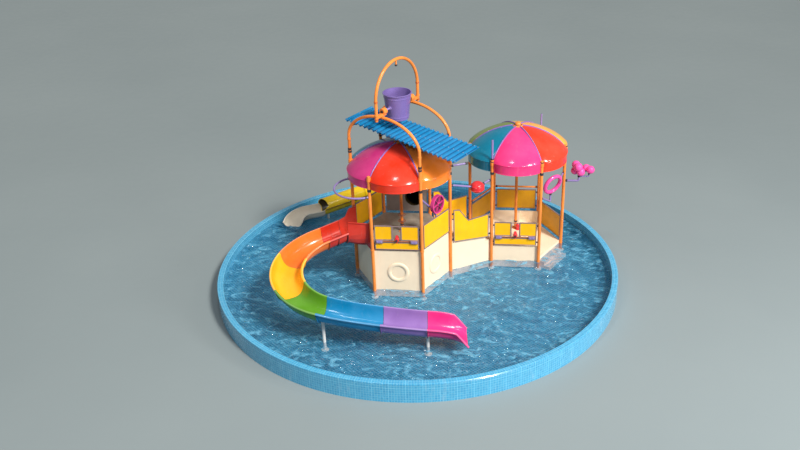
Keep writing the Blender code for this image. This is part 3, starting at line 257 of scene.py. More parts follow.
def painted(name, colour, roughness=0.30, wear=0.35):
    """Painted steel: even gloss paint with small chips, rubbed patches and water marks."""
    recipe = Recipe(name, Coat_Weight=0.12, Coat_Roughness=0.12, Specular_IOR_Level=0.35)
    base = recipe.lay(tone(colour, 0.84), recipe.noise(1.7, 5, 0.6), 0.32, 0.70,
                      tone(colour, 1.10))
    marks = recipe.streaks((22, 22, 1.6), 7, 0.65)
    base = recipe.lay(base, marks, 0.58, 0.80, blend(tone(colour, 0.45), DUST, 0.35), 0.28)
    chips = recipe.noise(34, 9, 0.72)
    base = recipe.lay(base, chips, 0.69, 0.72, blend(colour, PRIMER, 0.6), wear)
    rough = recipe.span(chips, 0.3, 0.75, roughness - 0.06, roughness + 0.20)
    return recipe.finish(base, rough, (recipe.span(chips, 0.69, 0.72, 1, 0), 0.15, 0.001),
                         (recipe.noise(220, 2), 0.06, 0.001))


def sheet_plastic(name, colour, roughness=0.34):
    """Coloured sheet plastic: faint cloudiness, fine orange peel and hairline scratches."""
    recipe = Recipe(name, Coat_Weight=0.05, Coat_Roughness=0.2, Specular_IOR_Level=0.35)
    base = recipe.lay(tone(colour, 0.90), recipe.noise(2.2, 4, 0.5), 0.3, 0.7,
                      tone(colour, 1.06))
    dirt = recipe.streaks((13, 13, 1.1), 7, 0.65)
    base = recipe.lay(base, dirt, 0.56, 0.80, blend(tone(colour, 0.5), DUST, 0.4), 0.22)
    scratches = recipe.streaks((70, 70, 4), 4, 0.6, 0.6)
    base = recipe.lay(base, scratches, 0.68, 0.74, blend(colour, WHITE, 0.4), 0.22)
    return recipe.finish(base, recipe.span(scratches, 0.4, 0.7, roughness, roughness + 0.18),
                         (recipe.noise(240, 2), 0.10, 0.001), (scratches, 0.05, 0.001))


def cream_wall(name, colour, wet):
    """Cream panels, limy where the pool's water wets them, with painted shade on the main deck's
    top: a dark speckled tone.
    """
    recipe = Recipe(name, Specular_IOR_Level=0.4)
    height = recipe.axes()[2]
    base = recipe.lay(tone(colour, 0.95), recipe.noise(1.3, 6, 0.6), 0.3, 0.7,
                      tone(colour, 1.04))
    runs = recipe.streaks((11, 11, 0.7), 7, 0.68)
    base = recipe.lay(base, runs, 0.56, 0.82, tone(colour, 0.62), 0.22)
    line = recipe.math("MULTIPLY_ADD", recipe.noise(2.4, 5, 0.6), 0.10, WATER_Z - 0.06)
    under = recipe.math("SUBTRACT", line, height)
    lime = recipe.lay(tone(wet, 0.86), recipe.noise(9, 6), 0.3, 0.7, tone(wet, 1.1))
    base = recipe.lay(base, under, -0.02, 0.03, lime)
    # Painted shade: the main deck's upward faces take the dark speckled tone
    deck_shade = recipe.lay(DECK_SHADE_DARK, recipe.noise(5, 7, 0.65), 0.3, 0.7, DECK_SHADE_LIGHT)
    upward = recipe.axes(recipe.node("TexCoord").outputs["Normal"])[2]
    level = recipe.math("MULTIPLY", recipe.span(upward, 0.8, 0.9), recipe.span(height, 1.90, 1.95))
    base = recipe.mix(recipe.math("MULTIPLY", level, 0.85), base, deck_shade)
    return recipe.finish(base, recipe.span(recipe.noise(8, 5), 0.3, 0.7, 0.42, 0.62),
                         (recipe.noise(2.2, 3), 0.12, 0.02),
                         (recipe.noise(95, 4, 0.6), 0.16, 0.002))


def tiles(name, course):
    """Small pool tiles with pale joints, in larger panels, each a slightly different blue."""
    recipe = Recipe(name, Specular_IOR_Level=0.5, Coat_Weight=0.3, Coat_Roughness=0.08)
    x, y, z = recipe.axes()
    along = recipe.math("MULTIPLY", recipe.math("ARCTAN2", y, x), POOL_RADIUS)
    away = recipe.math("SQRT", recipe.math("MULTIPLY_ADD", x, x, recipe.math("MULTIPLY", y, y)))
    slant = recipe.math("ADD", x, y), recipe.math("SUBTRACT", x, y)
    place = recipe.vector(*{"wall": (along, z), "rim": (along, away), "floor": slant}[course])
    dark, light, joint = TILE_FLOOR if course == "floor" else TILE_WALL
    tile, gap = (0.14, 0.016) if course == "floor" else (0.09, 0.007)
    brick, panels = (recipe.node("TexBrick", {
        "Vector": place, "Scale": 1.0, "Brick Width": width, "Row Height": width,
        "Mortar Size": mortar, "Mortar Smooth": 0.25, "Bias": 0.0, "Color1": (*dark, 1),
        "Color2": (*light, 1), "Mortar": (*joint, 1)}, offset=0.0, squash=1.0)
        for width, mortar in ((tile, gap), (tile * 6, gap * 1.4)))
    base = recipe.mix(recipe.math("MULTIPLY", panels.outputs["Fac"], 0.55),
                      brick.outputs["Color"], tone(joint, 1.3))
    base = recipe.lay(base, recipe.noise(0.8, 6, 0.6), 0.35, 0.7, (*light, 1), 0.30)
    lime = recipe.streaks((4, 4, 1.0), 7, 0.66)
    base = recipe.lay(base, lime, 0.58, 0.80, LIME, 0.30)
    return recipe.finish(base, recipe.span(recipe.noise(12, 5), 0.3, 0.7, 0.14, 0.34),
                         (recipe.math("SUBTRACT", 1.0, brick.outputs["Fac"]), 0.5, 0.004),
                         (recipe.noise(7, 3), 0.06, 0.004))


def water_surface(name):
    """Clear blue water with small ripples, a painted sheen of lighter blue, painted glints, and a
    tint in soft patches.
    """
    recipe = Recipe(name, IOR=1.33, Specular_IOR_Level=0.7)
    warped = recipe.stretch(1.0, 1.6, 1.0)
    base = recipe.lay(WATER_DEEP, recipe.noise(1.1, 5, 0.6, warped, 0.9), 0.35, 0.65, WATER_PALE)
    # Painted sheen: a lighter blue in patches, standing for light on the crests
    crest_sheen = recipe.noise(1.5, 10, 0.68, warped, 2.0)
    base = recipe.lay(base, crest_sheen, 0.50, 0.63, WATER_CREST_SHEEN, 0.9)
    glints = recipe.noise(7.5, 8, 0.72, warped, 1.2)
    base = recipe.lay(base, glints, 0.625, 0.67, WATER_GLINT, 0.9)
    cover = recipe.math("MAXIMUM", recipe.span(crest_sheen, 0.46, 0.62, 0.30, 0.80),
                        recipe.span(glints, 0.625, 0.67))
    recipe.feed(recipe.shader.inputs["Alpha"], cover)
    return recipe.finish(base, 0.025, (recipe.noise(2.6, 8, 0.68, warped, 1.8), 0.8, 0.12),
                         (recipe.noise(15, 4, 0.6), 0.45, 0.014))


def bare_floor(name):
    recipe = Recipe(name, Specular_IOR_Level=0.2)
    base = recipe.lay(STUDIO_DARK, recipe.noise(0.09, 4), 0.3, 0.7, STUDIO_LIGHT)
    return recipe.finish(base, recipe.span(recipe.noise(2.0, 4), 0.3, 0.7, 0.55, 0.65))


FLUME_COLOURS = {
    "red": (0.58, 0.026, 0.010), "orange": (0.84, 0.17, 0.018), "yellow": (0.94, 0.42, 0.003),
    "green": (0.095, 0.28, 0.012), "blue": (0.001, 0.20, 0.42), "purple": (0.25, 0.135, 0.41),
    "pink": (0.76, 0.022, 0.20)}
# The main dome's sixth, left-facing petal is a darker magenta: its own colour, and painted shade on
# its side away from the light
PETALS = {
    "main": ((0.76, 0.032, 0.009), (0.95, 0.22, 0.014), (0.90, 0.52, 0.02), (0.17, 0.34, 0.03),
             (0.006, 0.24, 0.44), (0.56, 0.032, 0.19)),
    "second": ((0.85, 0.036, 0.20), (0.82, 0.038, 0.012), (0.94, 0.40, 0.04), (0.88, 0.52, 0.08),
               (0.20, 0.28, 0.04), (0.002, 0.20, 0.33))}

paint_post = painted("orange_paint", (0.86, 0.26, 0.045))
paint_pipe = painted("purple_paint", (0.27, 0.20, 0.46))
paint_dark = painted("dark_clamp", (0.035, 0.030, 0.035), 0.4, 0.15)
paint_white = painted("white_paint", (0.72, 0.72, 0.70))
paint_frame = painted("frame_paint", (0.26, 0.19, 0.20), 0.38)
paint_brown = painted("brown_paint", (0.34, 0.11, 0.05), 0.4)
paint_rib = painted("rib_paint", (0.23, 0.13, 0.42), 0.4)
paint_hoop = painted("orange_clamp", (0.58, 0.13, 0.025), 0.4)
steel = painted("dull_steel", (0.42, 0.42, 0.44), 0.34, 0.5)
yellow_sheet = sheet_plastic("yellow_sheet", (0.96, 0.50, 0.003))
# A darker copy of the yellow sheet: painted shade for the second tower's right, back and left
# barriers
yellow_painted_shade = sheet_plastic("yellow_painted_shade", (0.62, 0.31, 0.004))
# Dark grey for the main tower's back panel: a grey sheet darkened with painted shade under the dome
grey_sheet_shaded = sheet_plastic("grey_sheet_shaded", (0.24, 0.21, 0.19))
cream_sheet = cream_wall("cream_wall", (0.90, 0.74, 0.54), (0.84, 0.68, 0.60))
roof_sheet = gel_coat("roof_sheet", (0.001, 0.18, 0.41), 0.5, 0.1)
# A darker blue for the roof's grooves: painted shade in the corrugation
roof_groove_shade = gel_coat("roof_groove_shade", (0.001, 0.07, 0.22), 0.5, 0.2)
bucket_coat = gel_coat("bucket_coat", (0.18, 0.125, 0.38), 0.22)
toy_pink = gel_coat("toy_pink", (0.90, 0.07, 0.36), 0.18)
toy_red = gel_coat("toy_red", (0.78, 0.03, 0.04), 0.14)
wheel_coat = gel_coat("wheel_coat", (0.62, 0.03, 0.22), 0.2)
# Near black for the wheel's web: painted shade in the pockets between the blades
wheel_web_shade = gel_coat("wheel_web_shade", (0.10, 0.008, 0.04), 0.3)
# The run-out in a greyer beige, painted shade in its trough, and its edges in a paler beige,
# painted highlight
runout_trough_shade = gel_coat("runout_trough_shade", (0.74, 0.67, 0.55), 0.2)
runout_edge_highlight = gel_coat("runout_edge_highlight", (0.90, 0.84, 0.72), 0.2)
wall_tiles, floor_tiles, rim_tiles = (tiles(f"{course}_tiles", course)
                                      for course in ("wall", "floor", "rim"))
FLUME_COATS = {name: gel_coat(f"flume_{name}", colour) for name, colour in FLUME_COLOURS.items()}
# Lighter copies of the flume colours for the rolled lips: a painted highlight
FLUME_LIP_HIGHLIGHTS = {name: gel_coat(f"lip_{name}", blend(tone(colour, 1.12), WHITE, 0.07))
              for name, colour in FLUME_COLOURS.items()}


# Building pieces

def facing(place, direction):
    """A frame at a place with its Z along a direction."""
    turn = Vector(direction).to_track_quat("Z", "Y").to_matrix().to_4x4()
    return Matrix.Translation(place) @ turn


def upright(angle):
    """Local X along the plan direction, local Y up and local Z level, to the direction's right."""
    along = Vector((*heading(angle), 0))
    return Matrix((along, UPWARD, along.cross(UPWARD))).transposed().to_4x4()


def rounded(points, radius, steps=6):
    """A line of points with its corners rounded."""
    points = [Vector(point) for point in points]
    line = [points[0]]
    for before, corner, after in zip(points, points[1:], points[2:]):
        reach = min(radius, (before - corner).length * 0.45, (after - corner).length * 0.45)
        start = corner + (before - corner).normalized() * reach
        end = corner + (after - corner).normalized() * reach
        for step in range(steps + 1):
            t = step / steps
            line.append(start.lerp(corner, t).lerp(corner.lerp(end, t), t))
    return line + [points[-1]]


def inset(outline, width):
    """An outline moved inwards; it may turn either way round."""
    area = sum(a[0] * b[1] - b[0] * a[1] for a, b in zip(outline, outline[1:] + outline[:1]))
    sign = 1 if area > 0 else -1
    count = len(outline)
    moved = []
    for k in range(count):
        before, here, after = (Vector(outline[j % count]) for j in (k - 1, k, k + 1))
        a, b = (Vector((-way.y, way.x)) * sign
                for way in ((here - before).normalized(), (after - here).normalized()))
        moved.append(tuple(here + (a + b) * width / (1 + a.dot(b))))
    return moved


def rectangle(left, right, low, high):
    return [(left, low), (right, low), (right, high), (left, high)]


def ring_section(inner, outer, half, edge, z=0.0):
    """The section of a ring whose outer edges are broken."""
    return ((inner, z + half), (outer - edge, z + half), (outer, z + half - edge),
            (outer, z - half + edge), (outer - edge, z - half), (inner, z - half))


def skin(bm, rows, closed=True, capped=False):
    """Faces between neighbouring rows of vertices; a closed row's end joins its start."""
    count = len(rows[0])
    for row, nearby in zip(rows, rows[1:]):
        for k in range(count if closed else count - 1):
            after = (k + 1) % count
            bm.faces.new((row[k], row[after], nearby[after], nearby[k]))
    if capped:
        bm.faces.new(rows[0])
        bm.faces.new(rows[-1])


def soften(bm, edges, width):
    bmesh.ops.bevel(bm, geom=edges, offset=width, segments=2, affect="EDGES", profile=0.7)


class Shape:
    """Geometry with one or more materials that becomes one piece. Its matrix places what box,
    rod, ball, tube, frame, bolt and clamp are given. Merge, sheet and turned take a matrix, and
    loft, post and collar work in the shared frame."""

    def __init__(self, matrix=IDENTITY):
        self.bm = bmesh.new()
        self.materials = []
        self.matrix = matrix

    def at(self, place):
        return self.matrix @ Vector(place)

    def facing(self, place, direction):
        return facing(self.at(place), self.matrix.to_3x3() @ Vector(direction))

    def merge(self, other, material, matrix=IDENTITY):
        other.transform(matrix)
        bmesh.ops.recalc_face_normals(other, faces=other.faces)
        if material not in self.materials:
            self.materials.append(material)
        for face in other.faces:
            face.material_index = self.materials.index(material)
        mesh = bpy.data.meshes.new("merge")
        other.to_mesh(mesh)
        other.free()
        self.bm.from_mesh(mesh)
        bpy.data.meshes.remove(mesh)

    def sheet(self, rows, material, matrix=IDENTITY, looped=False, capped=False):
        """Faces over closed rows of points; a looped sheet's last row joins its first."""
        bm = bmesh.new()
        rows = [[bm.verts.new(point) for point in row] for row in rows]
        skin(bm, rows + (rows[:1] if looped else []), capped=capped)
        self.merge(bm, material, matrix)

    def box(self, size, place, material, bevel=0.004, turn=IDENTITY):
        bm = bmesh.new()
        bmesh.ops.create_cube(bm, size=1.0, matrix=Matrix.Diagonal((*size, 1)))
        soften(bm, bm.edges[:], bevel)
        self.merge(bm, material, self.matrix @ turn @ Matrix.Translation(place))

    def turned(self, profile, matrix, material, sides=32, closed=False):
        """A profile of (radius, z) turned round Z; a closed profile's end joins its start."""
        bm = bmesh.new()
        rings = [[bm.verts.new((radius * c, radius * s, z))
                  for c, s in circle(sides)[:sides if radius > 0 else 1]] for radius, z in profile]
        for first, second in zip(rings, rings[1:] + (rings[:1] if closed else [])):
            for k in range(sides if len(first) + len(second) > 2 else 0):
                after = (k + 1) % sides
                corners = (first[k % len(first)], first[after % len(first)],
                           second[after % len(second)], second[k % len(second)])
                bm.faces.new(list(dict.fromkeys(corners)))
        self.merge(bm, material, matrix)

    def rod(self, start, end, radius, material, sides=24):
        start, end = self.at(start), self.at(end)
        length = (end - start).length
        edge = min(0.004, radius / 2, length / 3)
        profile = ((0, length), (radius - edge, length), (radius, length - edge), (radius, edge),
                   (radius - edge, 0), (0, 0))
        self.turned(profile, facing(start, end - start), material, sides)

    def ball(self, centre, radius, material, scale=(1, 1, 1), across=32, up=20):
        bm = bmesh.new()
        bmesh.ops.create_uvsphere(bm, u_segments=across, v_segments=up, radius=radius)
        self.merge(bm, material, Matrix.Translation(self.at(centre)) @ Matrix.Diagonal((*scale, 1)))

    def tube(self, points, radius, material, sides=18, closed=False):
        """A round pipe along a line of points."""
        points = [self.at(point) for point in points]
        count = len(points)
        rings = []
        side = None
        for k, point in enumerate(points):
            before = points[(k - 1) % count] if closed or k else point
            after = points[(k + 1) % count] if closed or k < count - 1 else point
            ahead = (after - before).normalized()
            if side is None:
                side = ahead.orthogonal().normalized()
            side = (side - ahead * side.dot(ahead)).normalized()
            other = ahead.cross(side)
            rings.append([point + (side * c + other * s) * radius for c, s in circle(sides)])
        self.sheet(rings, material, looped=closed, capped=not closed)

    def loft(self, rings, material):
        """A channel; each ring runs round its outer side and back along its inner side."""
        bm = bmesh.new()
        rows = [[bm.verts.new(point) for point in ring] for ring in rings]
        skin(bm, rows)
        for row in (rows[0], rows[-1]):
            half = len(row) // 2
            skin(bm, (row[:half], row[:half - 1:-1]), closed=False)
        self.merge(bm, material)

    def frame(self, outline, width, low, high, material):
        """A border that follows an outline's inner side."""
        bm = bmesh.new()
        inner = inset(outline, width)
        lines = ((outline, low), (outline, high), (inner, high), (inner, low))
        rings = [[bm.verts.new((x, y, z)) for x, y in line] for line, z in lines]
        skin(bm, rings + rings[:1])
        soften(bm, [edge for edge in bm.edges if edge.calc_face_angle(0) > 0.5], 0.003)
        self.merge(bm, material, self.matrix)

    def bolt(self, place, direction, size):
        """A washer and a hexagonal head."""
        matrix = self.facing(place, direction)
        washer = ((0, 0.35), (1.5, 0.35), (1.6, 0), (0, 0))
        head = ((0, 1.15), (0.8, 1.15), (1, 0.95), (1, 0.3), (0, 0.3))
        for profile, sides in ((washer, 12), (head, 6)):
            self.turned([(size * r, size * z) for r, z in profile], matrix, steel, sides)

    def collar(self, place, z, radius, height, material=paint_dark, thick=0.012):
        """A ring clamped round an upright pipe."""
        section = ring_section(radius, radius + thick, height / 2, 0.004, z)
        self.turned(section, Matrix.Translation(at_z(place, 0)), material, 28)

    def clamp(self, place, direction, radius=PIPE, width=0.06, material=paint_dark, thick=0.012):
        """A ring clamped round a pipe that runs in a direction."""
        section = ring_section(radius * 0.98, radius + thick, width / 2, min(0.004, width / 4))
        self.turned(section, self.facing(place, direction), material, 24)

    def post(self, place, foot, top, radius, material):
        """A post with a base plate and four bolts; a plate in the water is white."""
        matrix = Matrix.Translation(at_z(place, 0))
        profile = ((0, top), (radius * 0.75, top), (radius, top - radius * 0.25),
                   (radius, foot + 0.005), (0, foot + 0.005))
        self.turned(profile, matrix, material)
        plate = foot + PLATE_THICK
        profile = ((0, plate + 0.03), (radius + 0.008, plate + 0.03), (radius + 0.012, plate),
                   (PLATE_RADIUS - 0.006, plate), (PLATE_RADIUS, plate - 0.006),
                   (PLATE_RADIUS, foot), (0, foot))
        self.turned(profile, matrix, paint_white if foot < WATER_Z else material)
        for k in range(4):
            spot = place + heading(pi / 4 + k * pi / 2) * (PLATE_RADIUS - 0.035)
            self.bolt(at_z(spot, plate), UPWARD, 0.011)

    def piece(self, name, slot, stands_for=(), body="tower", sharp=38):
        mesh = bpy.data.meshes.new(name)
        self.bm.to_mesh(mesh)
        self.bm.free()
        for material in self.materials:
            mesh.materials.append(material)
        mesh.shade_smooth()
        mesh.set_sharp_from_angle(angle=radians(sharp))
        obj = add_object(name, mesh)
        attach(obj, body)
        if stands_for:
            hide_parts(*stands_for)

    def dressed(self, node, slot, body="tower"):
        """Become the piece that stands for a solid."""
        self.piece(f"{node}_dressed", slot, (node,), body)


def dress(name, material, bevel=0.0):
    """Give a CAD node its material, and soft edges where it is a moulded solid."""
    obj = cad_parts[name]
    if not obj.material_slots:
        obj.data.materials.append(None)
    for slot in obj.material_slots:
        slot.link = "OBJECT"
        slot.material = material
    if bevel:
        soft = obj.modifiers.new("soft_edges", "BEVEL")
        soft.width = bevel
        soft.segments = 2
        soft.limit_method = "ANGLE"
        soft.angle_limit = radians(40)
        soft.harden_normals = False


# Pool

def build_pool():
    dress("pool_floor", floor_tiles)
    edge = 0.012
    low = POOL_HEIGHT - 0.035
    side = ((POOL_RADIUS - edge, low), (POOL_RADIUS, low - edge), (POOL_RADIUS, 0.0),
            (POOL_INNER, 0.0), (POOL_INNER, low))
    rim = ((POOL_RADIUS, low), (POOL_RADIUS, POOL_HEIGHT - edge),
           (POOL_RADIUS - edge, POOL_HEIGHT), (POOL_INNER + edge, POOL_HEIGHT),
           (POOL_INNER, POOL_HEIGHT - edge), (POOL_INNER, low))
    wall = Shape()
    for profile, material in ((side, wall_tiles), (rim, rim_tiles)):
        wall.turned(profile, IDENTITY, material, 288, closed=True)
    wall.piece("pool_wall_tiled", "pool", ("pool_wall",))


def water_height(x, y):
    """The rippled surface's height at a place."""
    slow = noise.noise(Vector((x * 0.9, y * 1.25, 0.0)))
    quick = noise.noise(Vector((x * 2.2 + slow, y * 3.2, 3.0)))
    fine = noise.noise(Vector((x * 5.0, y * 7.0 + quick, 7.0)))
    return WATER_Z + (0.014 * slow + 0.026 * quick + 0.014 * fine)


def build_water():
    """Still water: a rippled sheet from wall to wall."""
    bm = bmesh.new()
    rings, sides = 190, 460
    middle = bm.verts.new((0, 0, water_height(0, 0)))
    rows = []
    for ring in range(1, rings + 1):
        radius = (POOL_INNER - SEAT) * ring / rings
        rows.append([bm.verts.new((radius * c, radius * s, water_height(radius * c, radius * s)))
                     for c, s in circle(sides)])
    for k in range(sides):
        bm.faces.new((middle, rows[0][k], rows[0][(k + 1) % sides]))
    skin(bm, rows)
    water = Shape()
    water.merge(bm, water_surface("water"))
    water.piece("water_surface", "pool", sharp=180)


# Posts and columns

def build_posts():
    """The towers' posts and centre columns; two of the second tower's posts carry a riser."""
    for number, place in enumerate(MAIN_POSTS, start=1):
        carries_arch = number in (1, 3, 4, 6)
        top = ARCH_FOOT if carries_arch else MAIN_SPRING + 0.18
        post = Shape()
        post.post(place, FLOOR_TOP, top, POST_RADIUS, paint_post)
        post.collar(place, MAIN_SPRING - MAIN_BAND - 0.06, POST_RADIUS, 0.10)
        post.collar(place, top - (0.05 if carries_arch else 0.07), POST_RADIUS, 0.07)
        post.collar(place, MAIN_SPRING + 0.06, POST_RADIUS, 0.16, paint_post, 0.018)
        post.collar(place, MAIN_DECK + 0.03, POST_RADIUS, 0.05, paint_post, 0.014)
        post.dressed(f"main_post_{number}", "post")
    top = SECOND_SPRING + 0.10
    for number, place in enumerate(SECOND_POSTS, start=1):
        post = Shape()
        post.post(place, FLOOR_TOP, top, POST_RADIUS, paint_post)
        post.collar(place, SECOND_SPRING - SECOND_BAND - 0.06, POST_RADIUS, 0.10)
        post.collar(place, top - 0.07, POST_RADIUS, 0.05)
        post.collar(place, SECOND_SPRING - 0.05, POST_RADIUS, 0.14, paint_post, 0.018)
        if number in RISER_TOPS:
            riser_top = RISER_TOPS[number]
            post.rod(at_z(place, top - 0.02), at_z(place, riser_top), PIPE, paint_pipe)
            post.collar(place, top + 0.03, PIPE, 0.05, thick=0.014)
            nozzle = ((0, riser_top), (0.018, riser_top), (0.02, riser_top - 0.03))
            post.turned(nozzle, Matrix.Translation(at_z(place, 0)), paint_dark, 16)
        post.dressed(f"second_post_{number}", "post")
    for name, place, deck, spring in (("main", MAIN, MAIN_DECK, MAIN_SPRING),
                                      ("second", SECOND, SECOND_DECK, SECOND_SPRING)):
        top = spring + DOME_RISE - DOME_SHELL - SEAT
        column = Shape()
        column.post(place, deck + SEAT, top, COLUMN_RADIUS, paint_post)
        column.collar(place, top - 0.12, COLUMN_RADIUS, 0.12, thick=0.02)
        column.collar(place, deck + 0.30, COLUMN_RADIUS, 0.06)
        column.dressed(f"{name}_column", "post")


# Barriers

def panel_shape(first, second, z, gap=BARRIER_GAP):
    """A shape for a panel between two posts, its X along the panel and Y up, and its length."""
    run = second - first
    away = POST_SEAT + gap
    start = at_z(first + run.normalized() * away, z)
    return Shape(Matrix.Translation(start) @ upright(atan2(run.y, run.x))), run.length - 2 * away


def tabs(shape, length, heights, gap=BARRIER_GAP):
    """Bolted brackets from a panel's ends to the posts; each pair of heights is left and right."""
    for left, right in heights:
        for x, y, side in ((0.0, left, -1), (length, right, 1)):
            middle = x + side * (gap - 0.02) / 2
            shape.box((gap + 0.02, 0.06, 0.02), (middle, y, 0), paint_dark, 0.003)
            shape.bolt((x - side * 0.02, y, BARRIER_THICK / 2 + 0.001), UPWARD, 0.009)


def framed_plate(shape, outline, sheet):
    """A sheet in a frame, over an outline in the shape's XY plane."""
    half, border = BARRIER_THICK / 2, 0.028
    shape.frame(outline, border, -half, half, paint_frame)
    face = inset(outline, border - 0.004)
    shape.sheet([[(x, y, z) for x, y in face] for z in (0.010 - half, half - 0.010)], sheet,
                shape.matrix, capped=True)


def finish_barrier(name, shape, length, height):
    tabs(shape, length, [(share * height, share * height) for share in (0.14, 0.86)])
    shape.dressed(name, "barrier")


def build_plain_barrier(name, first, second, deck, top=BARRIER_TOP, sheet=yellow_sheet):
    shape, length = panel_shape(first, second, deck + BARRIER_CLEAR)
    height = top - BARRIER_CLEAR
    framed_plate(shape, rectangle(0, length, 0, height), sheet)
    finish_barrier(name, shape, length, height)


def build_play_barrier(name, first, second, deck):
    """A low strip and two side panels, a spray tube with two clamps, and a water gun between."""
    shape, length = panel_shape(first, second, deck + BARRIER_CLEAR)
    height = BARRIER_TOP - BARRIER_CLEAR
    left, right = (length - NOTCH_WIDTH) / 2, (length + NOTCH_WIDTH) / 2
    bar_y = STRIP_HEIGHT + 0.045
    for outline in (rectangle(0, length, 0, STRIP_HEIGHT), rectangle(0, left, SILL, height),
                    rectangle(right, length, SILL, height)):
        framed_plate(shape, outline, yellow_sheet)
    for x in (0.03, left - 0.03, right + 0.03, length - 0.03):
        shape.box((0.05, 0.12, 0.03), (x, bar_y, 0), paint_frame)
    proud = BARRIER_THICK / 2 + 0.006
    shape.rod((0.02, bar_y, proud), (length - 0.02, bar_y, proud), 0.02, paint_brown)
    for x in (0.17, length - 0.17):
        shape.box((0.27, 0.135, 0.10), (x, bar_y, proud), paint_frame, 0.012)
        shape.box((0.22, 0.10, 0.14), (x, bar_y, proud), paint_pipe, 0.012)
        for side in (-0.07, 0.07):
            shape.bolt((x + side, bar_y, proud + 0.07), UPWARD, 0.012)
    for x in (left + 0.006, right - 0.006):
        shape.rod((x, bar_y, 0), (x, height - 0.01, 0), 0.014, paint_frame, 12)
    middle, gun_y = length / 2, SILL + 0.038
    shape.rod((middle, gun_y, -0.14), (middle, gun_y, 0.10), 0.066, toy_red)
    shape.rod((middle, gun_y, 0.08), (middle, gun_y, 0.16), 0.036, paint_dark)
    shape.rod((middle, bar_y - 0.08, 0), (middle, gun_y, 0), 0.032, toy_red)
    shape.box((0.09, 0.13, 0.07), (middle, gun_y + 0.05, -0.05), toy_red, 0.012)
    shape.ball((middle, gun_y - 0.01, 0), 0.085, toy_red)
    shape.rod((left, height - 0.03, 0), (right, height - 0.03, 0), 0.014, paint_frame, 12)
    finish_barrier(name, shape, length, height)


def build_bridge_barrier(name, first, second):
    gap = 0.08
    shape, length = panel_shape(first, second, 0, gap)
    low, high, top = BRIDGE_DECK + BARRIER_CLEAR, 2.96, 2.48
    outline = [(0, low), (length, low - 0.13), (length, top), (0.42 * length, top - 0.06),
               (0.17 * length, high - 0.03), (0, high)]
    framed_plate(shape, outline, yellow_sheet)
    tabs(shape, length, ((low + 0.12, low - 0.01), (high - 0.15, top - 0.15)), gap)
    shape.dressed(name, "barrier")


def build_barriers():
    p1, p2, p3, p4, p5, p6 = MAIN_POSTS
    q1, q2, q3, q4, q5, q6 = SECOND_POSTS
    build_play_barrier("main_play_barrier", p2, p3, MAIN_DECK)
    build_plain_barrier("main_barrier_right", p3, p4, MAIN_DECK)
    build_plain_barrier("main_barrier_left", p6, p1, MAIN_DECK)
    build_play_barrier("second_play_barrier", q1, q2, SECOND_DECK)
    # The second tower's right, back and left barriers take the darker yellow, painted shade
    build_plain_barrier("second_barrier_right", q3, q4, LANDING, sheet=yellow_painted_shade)
    railed = (("back", q4, q5), ("left", q5, q6))
    for name, first, second in railed:
        build_plain_barrier(f"second_barrier_{name}", first, second, SECOND_DECK,
                            BACK_BARRIER_TOP, yellow_painted_shade)
    build_bridge_barrier("bridge_barrier_front", p4, q1)
    build_bridge_barrier("bridge_barrier_back", p5, q6)
    # The main tower's back panel in the darkened grey: painted shade
    dress("main_barrier_back", grey_sheet_shaded, 0.003)
    for name, first, second in railed:
        ahead = (second - first).normalized() * POST_SEAT
        start, end = at_z(first + ahead, RAIL_Z), at_z(second - ahead, RAIL_Z)
        rail = Shape()
        rail.rod(start, end, PIPE, paint_post)
        along = (end - start).normalized() * 0.04
        for place in (start + along, end - along):
            rail.clamp(place, end - start)
        rail.dressed(f"second_rail_{name}", "post")


# Bases

def build_bases():
    for name in ("main_base", "second_base", "bridge_base", "entry_steps"):
        dress(name, cream_sheet, 0.008)
    away = (POST_CIRCLE - POST_SEAT) * cos(pi / 6)
    profile = ((0.26, 0.0), (0.265, 0.018), (0.285, 0.032), (0.375, 0.032), (0.395, 0.018),
               (0.40, 0.0))
    for side, angle in (("front", -pi / 2), ("right", ACROSS)):
        ring = Shape()
        place = at_z(MAIN + heading(angle) * away, 1.17)
        ring.turned(profile, facing(place, (*heading(angle), 0)), cream_sheet, 64)
        ring.piece(f"base_ring_{side}", "base")


# Domes

def dome_point(centre, angle, lift, spring, band, inward=0.0):
    """A place on a dome: lift is 0 at the spring line, 1 at the top and -1 at the band's foot."""
    bulge = DOME_BULGE * abs(sin(3 * angle)) ** 0.5
    turn = max(lift, 0) * pi / 2
    if lift < 0:
        radius, z = DOME_VALLEY + bulge + lift * DOME_TUCK, spring + lift * band
    else:
        radius = (DOME_VALLEY + bulge * cos(turn) ** 2) * cos(turn)
        z = spring + DOME_RISE * sin(turn) ** 1.6
    return at_z(centre + heading(angle) * (radius - inward * cos(turn)), z - inward * sin(turn))


def build_petal(name, centre, start, spring, band, material, stands_for):
    """One petal: a curved shell with a plumb band at its foot and a rolled lip below."""
    across, edge = 30, 0.0075
    angles = [start + edge + (pi / 3 - 2 * edge) * (0.5 - 0.5 * cos(pi * k / across))
              for k in range(across + 1)]
    lifts = [-1, -0.75, -0.5, -0.25, -0.06, 0.0] + [0.02 + 0.905 * k / 26 for k in range(27)]
    bm = bmesh.new()
    outer, inner = [[[bm.verts.new(dome_point(centre, angle, lift, spring, band, inward))
                      for angle in angles] for lift in lifts] for inward in (0.0, DOME_SHELL)]
    for rows in (outer, inner, (outer[0], inner[0]), (outer[-1], inner[-1])):
        skin(bm, rows, closed=False)
    for end in (0, -1):
        skin(bm, [[row[end] for row in side] for side in (outer, inner)], closed=False)
    petal = Shape()
    petal.merge(bm, material)
    for lift, inward, radius, sides in ((-1, DOME_SHELL / 2, 0.014, 10), (0.0, -0.002, 0.010, 8)):
        line = [dome_point(centre, angle, lift, spring, band, inward) for angle in angles[3:-3]]
        petal.tube(line, radius, material, sides)
    petal.piece(name, "dome", stands_for)


